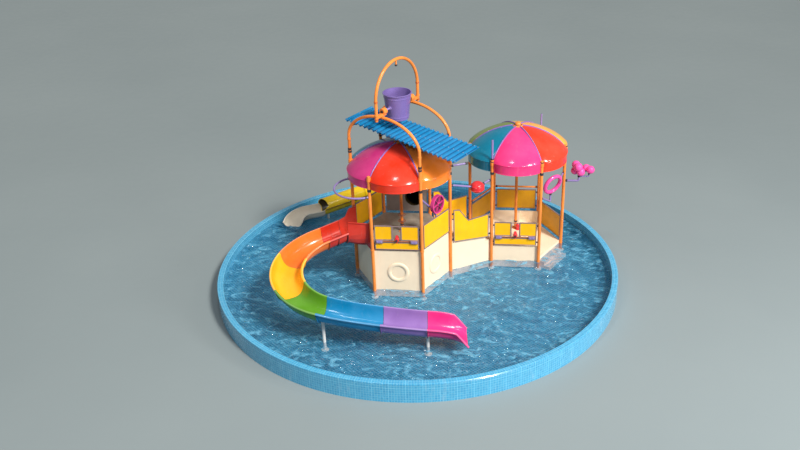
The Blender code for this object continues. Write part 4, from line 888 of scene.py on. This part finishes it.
def build_dome(name, centre, spring, band):
    for number, colour in enumerate(PETALS[name], start=1):
        petal = f"{name}_petal_{number}"
        build_petal(petal, centre, POST_ANGLES[number % 6], spring, band,
                    gel_coat(petal, colour, 0.12), (f"{name}_dome",) if number == 1 else ())
    ribs = Shape()
    for angle in POST_ANGLES:
        line = [dome_point(centre, angle, -0.15 + 1.09 * k / 30, spring, band, -0.010)
                for k in range(31)]
        ribs.tube(line, 0.026, paint_rib, 12)
        for k in (6, 13, 20):
            up = (line[k] - at_z(centre, spring - 1.2)).normalized()
            ribs.bolt(line[k] + up * 0.024, up, 0.011)
    ribs.piece(f"{name}_dome_ribs", "pipe")
    knob = Shape()
    top = spring + DOME_RISE
    profile = ((0, 0.13), (0.06, 0.125), (0.10, 0.095), (0.115, 0.05), (0.115, 0.03),
               (0.14, 0.03), (0.155, 0.012), (0.20, -0.012), (0.0, -0.012))
    knob.turned([(radius, top + z) for radius, z in profile],
                Matrix.Translation(at_z(centre, 0)), paint_post, 40)
    knob.collar(centre, top + 0.022, 0.113, 0.022, thick=0.03)
    knob.piece(f"{name}_dome_knob", "post")


# Open flume

class Route:
    """A level line of straights and bends on the plan, measured by its length."""

    def __init__(self, start, angle):
        self.pieces = [(0.0, Vector(start), angle, 0.0)]
        self.length = 0.0

    def bend(self, length, turn=0.0):
        begin, place, angle, _ = self.pieces[-1]
        self.pieces[-1] = (begin, place, angle, turn / length)
        self.length += length
        self.pieces.append((self.length, *self.at(self.length), 0.0))

    def at(self, s):
        """The place and the angle of travel at a length."""
        begin, place, angle, curl = [piece for piece in self.pieces if piece[0] <= s + 1e-9][-1]
        run = s - begin
        if curl == 0:
            return place + heading(angle) * run, angle
        after = angle + curl * run
        return place + (rightward(after) - rightward(angle)) / curl, after


FLUME_SEAMS = (1.46, 2.98, 4.62, 6.11, 8.14, 9.64, 10.95)
FLUME_START = 0.75
FLUME_END = FLUME_SEAMS[-1]
FLUME_HALF = 0.50
FLUME_DEPTH = 0.50
FLUME_LIP = 0.05
FLUME_SHELL = 0.014
FLUME_CUT = 0.40
FLUME_END_DEPTH = 0.12
FLUME_FLANGE = 0.045
SEAM_HALF = 0.007
LIP_DEEP = 0.025
EXIT_START = FLUME_SEAMS[5] + 0.25
TROUGH_PARTS = 14
FLUME = Route((MAIN_POSTS[0] + MAIN_POSTS[1]) / 2, radians(-150))
FLUME.bend(1.60)
for bend_radius, bend_turn in ((1.84, radians(139)), (5.9, radians(10)), (25.0, radians(8.0))):
    FLUME.bend(bend_radius * bend_turn, bend_turn)


def flume_rim(s):
    """The rim's height: a falling curve that drops further at the exit."""
    exit_share = max((s - EXIT_START) / (FLUME_END - EXIT_START), 0)
    return 2.96 - 0.205 * s + 0.0052 * s * s - 0.20 * exit_share * exit_share


def flume_wall(s):
    """The wall's depth, which is cut away towards the end."""
    cut_share = max((s - FLUME_END) / FLUME_CUT + 1, 0)
    return FLUME_DEPTH - (FLUME_DEPTH - FLUME_END_DEPTH) * cut_share


def trough_ring(half, depth, lip, height, flange=0.0):
    """A trough's closed section: round its outer side, then back along its inner side."""
    points = [(half + lip, -LIP_DEEP), (half + lip, 0), (half, 0)]
    for part in range(1, TROUGH_PARTS + 1):
        turn = part / TROUGH_PARTS * pi / 2
        points.append((half * 0.98 * cos(turn) ** 0.62, -depth * sin(turn) ** 1.1))
    line = [(-u, v) for u, v in points[:-1]] + points[::-1]
    last = len(line) - 1
    outer = []
    for k, (u, v) in enumerate(line):
        away = (Vector(line[min(k + 1, last)]) - Vector(line[max(k - 1, 0)])).normalized()
        extra = FLUME_SHELL + (flange if 3 <= k <= last - 3 else 0.0)
        outer.append((u + away.y * extra, v - away.x * extra))
    return [(u, -depth + (v + depth) * height / depth) for u, v in outer + line[::-1]]


def set_ring(ring, place, angle, z):
    return [(*(place + rightward(angle) * u), z + v) for u, v in ring]


def flume_ring(s, flange=0.0):
    ring = trough_ring(FLUME_HALF, FLUME_DEPTH, FLUME_LIP, flume_wall(s), flange)
    return set_ring(ring, *FLUME.at(s), flume_rim(s))


def flume_bolts(shape, s):
    """Bolts through the two flanges at a seam."""
    spots = flume_ring(s, 0.022)
    back = Vector((*-heading(FLUME.at(s)[1]), 0))
    for k in range(5, 27, 3):
        shape.bolt(Vector(spots[k]) + back * 0.014, back, 0.008)


def flume_lip(start, end, side):
    """The line of a rolled lip, from one seam to the next."""
    line = []
    for k in range(25):
        s = start + (end - start) * k / 24
        place, angle = FLUME.at(s)
        z = flume_rim(s) - (FLUME_DEPTH - flume_wall(s)) - 0.024
        line.append(at_z(place + rightward(angle) * side * (FLUME_HALF + FLUME_LIP), z))
    return line


def build_flume():
    for name, start, end in zip(FLUME_COATS, (FLUME_START,) + FLUME_SEAMS[:-1], FLUME_SEAMS):
        last = end == FLUME_END
        start += SEAT
        inner_start, inner_end = start + 0.015, end - 0.015
        stops = [(start, FLUME_FLANGE), (start + 0.014, FLUME_FLANGE), (inner_start, 0.0)]
        stops += [(inner_start + (end - start - 0.03) * k / 16, 0.0) for k in range(1, 16)]
        stops += ([(end, 0.0)] if last else
                  [(inner_end, 0.0), (end - 0.014, FLUME_FLANGE), (end, FLUME_FLANGE)])
        shape = Shape()
        shape.loft([flume_ring(s, flange) for s, flange in stops], FLUME_COATS[name])
        gaskets = [(start + 0.010, 0.050), (1.10, 0.030)] if name == "red" else []
        if not last:
            flume_bolts(shape, end)
            gaskets.append((end, 0.050))
        for seam, flange in gaskets:
            shape.loft([flume_ring(seam + side, flange) for side in (-SEAM_HALF, SEAM_HALF)],
                       paint_dark)
        # The rolled lips in the lighter copies: painted highlight
        for side in (-1, 1):
            shape.tube(flume_lip(start, end, side), 0.036, FLUME_LIP_HIGHLIGHTS[name], 12)
        shape.dressed(f"flume_{name}", f"flume_{name}")
    for number, s in enumerate((FLUME_SEAMS[3], FLUME_SEAMS[5]), start=1):
        place, _ = FLUME.at(s)
        top = flume_rim(s + SEAT + 0.03) - FLUME_DEPTH - FLUME_SHELL - FLUME_FLANGE - SEAT
        support = Shape()
        support.post(place, FLOOR_TOP, top, SUPPORT_RADIUS, paint_white)
        support.collar(place, top - 0.05, SUPPORT_RADIUS, 0.09, paint_white, 0.02)
        support.dressed(f"flume_support_{number}", "support")


# Closed tube slide

TUBE_RADIUS = 0.36
TUBE_SHELL = 0.014
TUBE_SIDES = 40
TUBE_LEAN = 0.6
TUBE_ENTRY = 1.15
TUBE_BEND = 1.9 * radians(105)
TUBE_MOUTH = TUBE_ENTRY + TUBE_BEND + 1.92
MOUTH_Z = 0.93
TUBE = Route((MAIN.x + 0.28, MAIN.y + SIDE_AWAY + BARRIER_THICK / 2 + SEAT), pi / 2)
for bend_length, bend_turn in ((TUBE_ENTRY, 0.0), (TUBE_BEND, radians(105)), (1.92, 0.0),
                               (0.55, 0.0), (0.75 * radians(75), radians(75))):
    TUBE.bend(bend_length, bend_turn)


def tube_centre(s):
    top = MAIN_DECK + 0.64
    return top + (MOUTH_Z - top) * s / TUBE_MOUTH


def tube_point(s, u, v):
    """A place by the tube's wall. Near the mouth the upper part leans: its far side reaches
    further, and its near side is cut back."""
    near_mouth = max(0, (s - TUBE_MOUTH) / TUBE_LEAN + 1)
    upper = min(max(v / TUBE_RADIUS / 0.6 + 0.5, 0), 1)
    s += near_mouth * upper * (u - 0.4 * TUBE_RADIUS) * TUBE_LEAN
    place, angle = TUBE.at(s)
    return at_z(place + rightward(angle) * u, tube_centre(s) + v)


def tube_ring(s, radius):
    return [tube_point(s, radius * c, radius * t) for c, t in circle(TUBE_SIDES)]


def build_tube():
    coat = gel_coat("tube_coat", (0.93, 0.62, 0.01), 0.14)
    dark = gel_coat("tube_seam", (0.22, 0.14, 0.02), 0.3)
    # Near black inside: painted shade within the tube
    shade_inside = gel_coat("tube_painted_shade", (0.05, 0.03, 0.006), 0.4)
    count = 56
    stops = [TUBE_MOUTH * step / count for step in range(count + 1)]
    bm = bmesh.new()
    outer, inner = [[[bm.verts.new(point) for point in tube_ring(s, radius)] for s in stops]
                    for radius in (TUBE_RADIUS, TUBE_RADIUS - TUBE_SHELL)]
    for rows in (outer, (outer[0], inner[0]), (outer[-1], inner[-1]), inner):
        skin(bm, rows)
    tube = Shape()
    tube.merge(bm, coat)
    tube.materials.append(shade_inside)
    # The inner wall's faces take the painted shade
    tube.bm.faces.ensure_lookup_table()
    for face in tube.bm.faces[-TUBE_SIDES * count:]:
        face.material_index = 1
    near, far = TUBE_RADIUS - 0.004, TUBE_RADIUS + 0.045
    flange = ((near, 0.014), (far, 0.014), (far, -0.014), (near, -0.014))
    for side in (-1, 1):
        tube.sheet([[tube_point(s, side * u, v) for u, v in flange] for s in stops], dark,
                   capped=True)
        for s in stops[2:-1:4]:
            place, angle = TUBE.at(s)
            spot = place + rightward(angle) * side * (TUBE_RADIUS + 0.022)
            tube.bolt(at_z(spot, tube_centre(s) + 0.014), UPWARD, 0.009)
    for s in (TUBE_ENTRY, TUBE_ENTRY + TUBE_BEND / 2, TUBE_ENTRY + TUBE_BEND):
        place, angle = TUBE.at(s)
        tube.clamp(at_z(place, tube_centre(s)), (*heading(angle), -0.2), TUBE_RADIUS, 0.05, coat,
                   0.035)
    rim = tube_ring(TUBE_MOUTH, TUBE_RADIUS - TUBE_SHELL / 2)
    tube.tube(rim, 0.016, coat, 10, closed=True)
    tube.dressed("tube_slide", "tube")
    build_runout()
    for number, s in enumerate((3.05, 6.30), start=1):
        fall = (tube_centre(s - SUPPORT_RADIUS) - tube_centre(s + SUPPORT_RADIUS)) / 2
        support = Shape()
        support.post(TUBE.at(s)[0], FLOOR_TOP, tube_centre(s) - TUBE_RADIUS - fall - SEAT,
                     SUPPORT_RADIUS, paint_white)
        support.dressed(f"tube_support_{number}", "support")


def build_runout():
    grip = TUBE_MOUTH - 0.12
    depth = (TUBE_RADIUS + SEAT) * 1.0005
    rings = []
    for k in range(31):
        s = grip + (TUBE.length - grip) * k / 30
        share = max(0, (s - TUBE_MOUTH) / (TUBE.length - TUBE_MOUTH))
        rim = tube_centre(s) if share == 0 else MOUTH_Z - 0.16 * share
        section = trough_ring(depth + 0.028, depth, 0.04, depth * (1 - 0.45 * share ** 4))
        rings.append(set_ring(section, *TUBE.at(s), rim))
    runout = Shape()
    # The trough takes the painted shade, its two edge tubes the painted highlight
    runout.loft(rings, runout_trough_shade)
    for k in (len(rings[0]) // 2 - 1, 0):
        runout.tube([Vector(ring[k]) + UPWARD * 0.008 for ring in rings], 0.016, runout_edge_highlight, 10)
    runout.dressed("tube_runout", "runout")


# Arches, roof and bucket

def arch_points(half, foot, spring, top):
    """Two legs and a half ellipse, in the local XZ plane."""
    elbow = (foot + spring) / 2
    turns = [pi - pi * step / 48 for step in range(49)]
    curve = [(half * cos(turn), 0, spring + (top - spring) * sin(turn)) for turn in turns]
    return [(-half, 0, foot), (-half, 0, elbow), *curve, (half, 0, elbow), (half, 0, foot)]


def roof_height(x):
    return ROOF_HIGH + (ROOF_LOW - ROOF_HIGH) * (x - ROOF_LEFT) / (ROOF_RIGHT - ROOF_LEFT)


def arch_meets_roof(side):
    """Where the arch passes the roof, found by halving."""
    inside, outside = 0.0, side * SIDE_AWAY * 0.999
    for _ in range(40):
        middle = (inside + outside) / 2
        height = ARCH_SPRING + (ARCH_TOP - ARCH_SPRING) * sqrt(1 - (middle / SIDE_AWAY) ** 2)
        if height > roof_height(middle):
            inside = middle
        else:
            outside = middle
    return inside


def build_arches():
    for name, side in (("arch_front", -1), ("arch_rear", 1)):
        place = MAIN + heading(ACROSS + pi / 2) * SIDE_HALF * side
        arch = Shape(Matrix.Translation(at_z(place, 0)) @ Matrix.Rotation(ACROSS, 4, "Z"))
        line = arch_points(SIDE_AWAY, ARCH_FOOT + SEAT, ARCH_SPRING, ARCH_TOP)
        arch.tube(line, ARCH_RADIUS, paint_post, 24)
        for x in (-SIDE_AWAY, SIDE_AWAY):
            arch.clamp((x, 0, ARCH_FOOT + 0.05), UPWARD, ARCH_RADIUS, 0.09)
            arch.clamp((x, 0, ARCH_FOOT + 0.43), UPWARD, ARCH_RADIUS, 0.05, paint_post, 0.014)
        reach = -side * (SIDE_HALF - ROOF_HALF - SEAT)
        for x in (arch_meets_roof(-1), arch_meets_roof(1)):
            z = roof_height(x)
            arch.rod((x, 0, z), (x, reach, z), 0.045, paint_post)
            arch.rod((x, -side * 0.05, z), (x, reach, z), 0.052, paint_dark)
        arch.dressed(name, "post")


def build_hoop():
    """The upper arch, with the bucket's two bearings."""
    turn = Matrix.Rotation(ACROSS + pi / 2, 4, "Z")
    hoop = Shape(Matrix.Translation(at_z(MAIN, 0)) @ turn)
    foot = ARCH_TOP - 0.05
    top = HOOP_SPRING + HOOP_HALF
    hoop.tube(arch_points(HOOP_HALF, foot, HOOP_SPRING, top), ARCH_RADIUS, paint_post, 24)
    near, deep = BEARING_Y - 0.09, 0.18
    bearing = ((0.038, 0.0), (0.108, 0.0), (0.12, 0.012), (0.12, 0.168), (0.108, deep),
               (0.0, deep), (0.0, 0.145), (0.038, 0.145))
    for side in (-1, 1):
        middle = (side * (HOOP_HALF + near) / 2, 0, ARCH_TOP + ARCH_RADIUS + SEAT + 0.05)
        hoop.box((HOOP_HALF - near, 0.12, 0.10), middle, paint_post, 0.012)
        matrix = hoop.facing((side * near, 0, BEARING_Z), (side, 0, 0))
        hoop.turned(bearing, matrix, paint_post, 32, closed=True)
        caps = [(side * (near + deep + thick), 0, BEARING_Z) for thick in (0, 0.012)]
        hoop.rod(*caps, 0.06, paint_dark)
        for z in (foot + 0.08, HOOP_SPRING + 0.02):
            hoop.clamp((side * HOOP_HALF, 0, z), UPWARD, ARCH_RADIUS, 0.06, paint_hoop)
        hoop.clamp((side * HOOP_HALF, 0, foot + 0.22), UPWARD, ARCH_RADIUS, 0.05, paint_post, 0.016)
    hoop.rod((0, 0, top - 0.04), (0, 0, top - 0.20), 0.03, paint_post)
    hoop.rod((0, 0, top - 0.18), (0, 0, top - 0.24), 0.045, paint_dark)
    hoop.dressed("bucket_hoop", "post")


def build_roof():
    """A corrugated sheet, its X down the slope, Y up and Z across."""
    run = ROOF_RIGHT - ROOF_LEFT
    fall = atan2(ROOF_HIGH - ROOF_LOW, run)
    length = hypot(run, ROOF_HIGH - ROOF_LOW)
    waves, per_wave = round(length / ROOF_PITCH), 16
    place = at_z(MAIN + heading(ACROSS) * ROOF_LEFT, ROOF_HIGH)
    matrix = Matrix.Translation(place) @ (upright(ACROSS) @ Matrix.Rotation(-fall, 4, "Z"))
    rows = []
    for step in range(waves * per_wave + 1):
        x = length * step / (waves * per_wave)
        y = ROOF_WAVE * min(max(1.9 * cos(2 * pi * step / per_wave) + 0.75, -1), 1)
        low, high = y - ROOF_SHEET, y + ROOF_SHEET
        rows.append(((x, high, -ROOF_HALF), (x, high, ROOF_HALF), (x, low, ROOF_HALF),
                     (x, low, -ROOF_HALF)))
    roof = Shape(matrix)
    roof.sheet(rows, roof_sheet, matrix, capped=True)
    # Faces low in the grooves take the darker blue: painted shade
    roof.materials.append(roof_groove_shade)
    flat = matrix.inverted()
    for face in roof.bm.faces:
        if (flat @ face.calc_center_median()).y < -0.4 * ROOF_WAVE:
            face.material_index = 1
    ends = {0: (length * 0.012, ROOF_WAVE + 0.001), waves: (length * 0.988, ROOF_WAVE + 0.001)}
    for number in range(waves + 1):
        x, y = ends.get(number, (length * number / waves, ROOF_WAVE + ROOF_SHEET))
        for z in (-ROOF_HALF + 0.06, 0.0, ROOF_HALF - 0.06):
            roof.bolt((x, y, z), (0, 1, 0), 0.010)
    roof.dressed("splash_roof", "roof")


def build_bucket():
    turn = Matrix.Rotation(ACROSS + pi / 2, 4, "Z")
    bucket = Shape(Matrix.Translation(at_z(MAIN, BEARING_Z)) @ turn)
    profile = ((0.476, 0.45), (0.508, 0.45), (0.515, 0.443), (0.515, 0.427), (0.508, 0.42),
               (0.489, 0.418), (0.478, 0.33), (0.486, 0.322), (0.486, 0.302), (0.474, 0.294),
               (0.402, -0.36), (0.412, -0.368), (0.410, -0.392), (0.398, -0.40), (0.389, -0.488),
               (0.377, -0.50), (0.0, -0.50), (0.0, -0.486), (0.371, -0.486))
    bucket.turned(profile, bucket.matrix, bucket_coat, 64, closed=True)
    radius_at_axle = 0.385 + 0.105 * 0.5 / 0.92
    start = radius_at_axle - 0.007
    reach = BEARING_Y - start
    axle = ((0.0, reach), (0.031, reach), (0.035, reach - 0.004), (0.035, 0.03), (0.064, 0.03),
            (0.07, 0.024), (0.07, 0.0), (0.0, 0.0))
    for side in (-1, 1):
        bucket.turned(axle, bucket.facing((side * start, 0, 0), (side, 0, 0)), paint_pipe, 28)
    bucket.dressed("bucket", "bucket", "bucket")


# Spray toys

def build_ball_pipe():
    post, second = MAIN_POSTS[3], SECOND_POSTS[0]
    along = (second - post).normalized()
    ball = at_z(post.lerp(second, 0.647), 3.69)
    start, end = post + along * POST_SEAT, second - along * POST_SEAT
    path = [at_z(start, 3.98), at_z(start + along * 0.08, 3.98), ball,
            at_z(end - along * 0.08, 3.86), at_z(end, 3.86)]
    pipe = Shape()
    pipe.tube(rounded(path, 0.05), PIPE, paint_pipe)
    pipe.ball(ball, 0.26, toy_red, (1, 1, 0.87), 48, 32)
    for z in (-0.07, 0.07):
        ring = [ball + Vector((c * 0.252, s * 0.252, z)) for c, s in circle(40)]
        pipe.tube(ring, 0.012, toy_red, 8, closed=True)
    for place in (path[0].lerp(path[1], 0.4), path[4].lerp(path[3], 0.4)):
        pipe.clamp(place, path[1] - path[0], PIPE, 0.05)
    for ahead in (path[1] - ball, path[3] - ball):
        pipe.clamp(ball + ahead.normalized() * 0.27, ahead, thick=0.016)
    pipe.dressed("ball_pipe", "toy_red")


def build_spray_arm():
    away = heading(radians(25))
    near, z = MAIN_POSTS[3] + away * POST_SEAT, 4.77
    arm = Shape()
    arm.rod(at_z(near, z), at_z(near + away * 0.60, z), PIPE, paint_pipe)
    arm.rod(at_z(near + away * 0.54, z), at_z(near + away * 0.65, z), PIPE + 0.012, paint_dark)
    arm.clamp(at_z(near + away * 0.04, z), (*away, 0))
    arm.dressed("spray_arm", "pipe")


def build_half_ring():
    first, second = MAIN_POSTS[0], MAIN_POSTS[1]
    middle, along = (first + second) / 2, (second - first).normalized()
    out, reach = heading(radians(-150)), 0.95 - POST_SEAT
    line = []
    for turn in [pi * step / 40 for step in range(41)]:
        place = out * (POST_SEAT + reach * sin(turn)) - along * (SIDE_HALF * cos(turn))
        line.append(at_z(middle + place, 4.23))
    ring = Shape()
    ring.tube(line, PIPE, paint_pipe)
    for k in (1, 39):
        ring.clamp(line[k], line[k + 1] - line[k - 1])
    for place in line[6:36:4]:
        nozzle = place - UPWARD * (PIPE - 0.004)
        ring.rod(nozzle, nozzle - UPWARD * 0.03, 0.010, paint_dark, 12)
    ring.piece("half_ring_dressed", "pipe", ("half_ring_pipe",))


def build_ring_spray():
    first, second = SECOND_POSTS[1], SECOND_POSTS[2]
    centre = at_z((first + second) / 2, 3.35)
    radius = 0.36
    turn, lean = radians(-49), radians(16)
    level = Vector((*heading(turn + pi / 2), 0))
    steep = Vector((*(heading(turn) * sin(lean)), cos(lean)))
    normal = level.cross(steep)
    ring = Shape()
    ring.tube([centre + (level * c + steep * s) * radius for c, s in circle(64)], 0.075, toy_pink,
              24, closed=True)
    along = (second - first).normalized()
    bottom = centre - steep * radius
    start, end = first + along * POST_SEAT, second - along * POST_SEAT
    lower = [at_z(start, 3.08), at_z(start + along * 0.08, 3.08), at_z(bottom, 2.60), bottom]
    upper = [at_z(end, 3.50), at_z(end - along * 0.08, 3.50),
             centre + (level * 0.9 + steep * 0.43) * radius]
    for holder, bend in ((lower, 0.10), (upper, 0.04)):
        ring.tube(rounded(holder, bend), PIPE, paint_pipe)
        ring.clamp(holder[0].lerp(holder[1], 0.4), holder[1] - holder[0], PIPE, 0.05)
    ring.clamp(bottom - UPWARD * 0.10, UPWARD, thick=0.014)
    for c, s in circle(12):
        spot = centre + (level * c + steep * s) * 0.32 + normal * 0.062
        ring.rod(spot, spot + normal * 0.02, 0.010, paint_dark, 10)
    ring.dressed("ring_spray", "toy_pink")


def build_flower():
    post = SECOND_POSTS[2]
    y, z = post.y, 3.16
    stem, branch = post.x + 0.56, post.x + 0.93
    flower = Shape()
    path = [(post.x + POST_SEAT, y, z), (stem, y, z), (stem, y, z + 0.32)]
    flower.tube(rounded(path, 0.08), PIPE + 0.005, paint_pipe)
    path = [(stem, y, z + 0.19), (branch, y, z + 0.19), (branch, y, z + 0.42)]
    flower.tube(rounded(path, 0.06), PIPE - 0.01, paint_pipe)
    flower.clamp((post.x + 0.10, y, z), (1, 0, 0), PIPE + 0.005, 0.06)
    flower.clamp((stem, y, z + 0.19), UPWARD, PIPE + 0.005, 0.06, thick=0.014)
    flower.clamp((branch, y, z + 0.30), UPWARD, PIPE - 0.01, 0.05)
    # Each ball's place beside the stem's foot, and its radius
    fork = branch - stem
    for dx, dy, dz, radius in ((-0.04, -0.06, 0.59, 0.165), (0.06, 0, 0.37, 0.165),
                               (-0.12, 0.20, 0.58, 0.16), (-0.15, 0.14, 0.36, 0.155),
                               (fork + 0.05, -0.03, 0.48, 0.155), (fork - 0.10, 0.15, 0.47, 0.15)):
        centre = Vector((stem + dx, y + dy, z + dz))
        flower.ball(centre, radius, toy_pink)
        for tilt in range(5):
            away = Vector((*heading(1.3 * tilt), 0.6)).normalized()
            spot = centre + away * (radius - 0.004)
            flower.rod(spot, spot + away * 0.012, 0.012, paint_dark, 10)
    flower.dressed("flower_spray", "toy_pink")


WHEEL_PLACE = MAIN_POSTS[2].lerp(MAIN_POSTS[3], 0.55)
WHEEL_Z = 3.59
WHEEL_RADIUS = 0.35
WHEEL_HALF = 0.07
HUB_HALF = WHEEL_HALF + 0.01


def build_wheel():
    inner = WHEEL_RADIUS - 0.05
    edge, half, bore = 0.006, WHEEL_HALF, 0.0206
    wheel = Shape(Matrix.Translation(at_z(WHEEL_PLACE, WHEEL_Z)) @ upright(ACROSS + pi / 2))
    rim = ((WHEEL_RADIUS - edge, half), (WHEEL_RADIUS, half - edge), (WHEEL_RADIUS, edge - half),
           (WHEEL_RADIUS - edge, -half), (inner + edge, -half), (inner, edge - half),
           (inner, half - edge), (inner + edge, half))
    # The web between the blades is near black: painted shade in the pockets
    web = ((0.05, 0.007), (inner + 0.01, 0.007), (inner + 0.01, -0.007), (0.05, -0.007))
    hub = ring_section(bore, 0.07, HUB_HALF, edge)
    for profile, material, sides in ((rim, wheel_coat, 56), (web, wheel_web_shade, 48),
                                     (hub, wheel_coat, 40)):
        wheel.turned(profile, wheel.matrix, material, sides, closed=True)
    for blade in range(6):
        wheel.box((inner - 0.055, 0.014, 2 * half - 0.01), ((inner + 0.06) / 2, 0, 0), wheel_coat,
                  0.003, Matrix.Rotation(pi * blade / 3 + 0.1, 4, "Z"))
    wheel.dressed("water_wheel", "toy_pink", "wheel")


def build_wheel_bracket():
    inward = -heading(ACROSS)
    stand = WHEEL_PLACE + inward * (HUB_HALF + 0.005 + PIPE + 0.02)
    foot = WHEEL_PLACE + inward * (BARRIER_THICK / 2 + PIPE + SEAT)
    shaft_end = WHEEL_PLACE - inward * (HUB_HALF + 0.015)
    washer = WHEEL_PLACE - inward * (HUB_HALF + 0.005)
    top = MAIN_DECK + BARRIER_TOP
    axis = at_z(stand, WHEEL_Z)
    path = [axis, at_z(stand, top + 0.09), at_z(foot, top), at_z(foot, top - 0.25)]
    bracket = Shape()
    bracket.tube(rounded(path, 0.05), PIPE, paint_pipe)
    bracket.ball(axis, PIPE * 1.25, paint_pipe)
    bracket.rod(axis, at_z(shaft_end, WHEEL_Z), 0.02, steel)
    bracket.rod(at_z(washer, WHEEL_Z), at_z(washer - inward * 0.03, WHEEL_Z), 0.04, paint_dark)
    away = heading(ACROSS + pi / 2 + pi / 3)
    near = MAIN_POSTS[2] + away * POST_SEAT
    brace_high, brace_low, brace_radius = 4.18, 3.30, 0.032
    brace = [at_z(near, brace_high), at_z(near + away * 0.05, brace_high),
             at_z(stand + inward * 0.02, brace_low)]
    bracket.tube(rounded(brace, 0.03), brace_radius, paint_pipe)
    bracket.clamp(at_z(near + away * 0.03, brace_high), (*away, 0), brace_radius, 0.05)
    bracket.clamp(at_z(stand, brace_low), UPWARD, PIPE, 0.10)
    bracket.dressed("wheel_bracket", "pipe")


def build_fittings():
    """Two hand-wheels on the main column, and a valve on the second deck."""
    fittings = Shape()
    for z in (MAIN_DECK + 0.45, MAIN_DECK + 0.70):
        spot = at_z(MAIN, z)
        ring = [spot + Vector((c, s, 0)) * 0.13 for c, s in circle(40)]
        fittings.tube(ring, 0.014, paint_brown, 10, closed=True)
        fittings.collar(MAIN, z, COLUMN_RADIUS, 0.05, paint_brown)
        for k in (5, 18, 32):
            fittings.tube([spot.lerp(ring[k], 0.4), ring[k]], 0.010, paint_brown, 10)
    spot = at_z(SECOND + heading(radians(-60)) * 0.17, SECOND_DECK)
    profile = ((0, 0.24), (0.05, 0.23), (0.075, 0.19), (0.075, 0.10), (0.055, 0.06),
               (0.055, 0.02), (0.09, 0.015), (0.09, 0.0), (0, 0.0))
    fittings.turned(profile, Matrix.Translation(spot), toy_red, 28)
    fittings.piece("hand_wheels", "post")


build_pool()
build_water()
build_posts()
build_barriers()
build_bases()
build_dome("main", MAIN, MAIN_SPRING, MAIN_BAND)
build_dome("second", SECOND, SECOND_SPRING, SECOND_BAND)
dress("slide_entry", FLUME_COATS["red"], 0.004)
build_flume()
build_tube()
build_arches()
build_hoop()
build_roof()
build_bucket()
build_wheel()
build_wheel_bracket()
build_ball_pipe()
build_ring_spray()
build_spray_arm()
build_flower()
build_half_ring()
build_fittings()


# Stage: a plain pale floor and soft studio light

def build_stage():
    mesh = bpy.data.meshes.new("floor")
    reach, z = 160, -0.002
    mesh.from_pydata([(-reach, -reach, z), (reach, -reach, z), (reach, reach, z),
                      (-reach, reach, z)], [], [(0, 1, 2, 3)])
    mesh.materials.append(bare_floor("studio_floor"))
    add_object("studio_floor", mesh)


def add_area(name, place, target, size, power):
    data = bpy.data.lights.new(name, "AREA")
    data.shape = "RECTANGLE"
    data.size, data.size_y = size
    data.energy = power
    add_object(name, data).matrix_world = facing(place, Vector(place) - Vector(target))


def build_light():
    world = bpy.data.worlds.new("studio")
    bpy.context.scene.world = world
    world.use_nodes = True
    background = world.node_tree.nodes["Background"]
    background.inputs["Color"].default_value = (0.96, 0.98, 1.0, 1)
    background.inputs["Strength"].default_value = 0.30
    data = bpy.data.lights.new("key", "SUN")
    data.energy = 3.4
    data.angle = radians(9)
    data.color = (1.0, 0.95, 0.88)
    add_object("key", data).matrix_world = facing((0, 0, 0), (0.66, -0.60, 0.88))
    softboxes = (((12, -16, 22), 900), ((-7, -20, 22), 900), ((22, -6, 20), 700),
                 ((-2, -8, 30), 900))
    for number, (place, power) in enumerate(softboxes, start=1):
        add_area(f"softbox_{number}", place, (0, 0, 4), (2.6, 2.6), power)
    add_area("softbox_low", (26, -17, 13), (0, 0, 3), (8, 6), 3600)


build_stage()
build_light()
bpy.context.scene.view_settings.view_transform = "Standard"
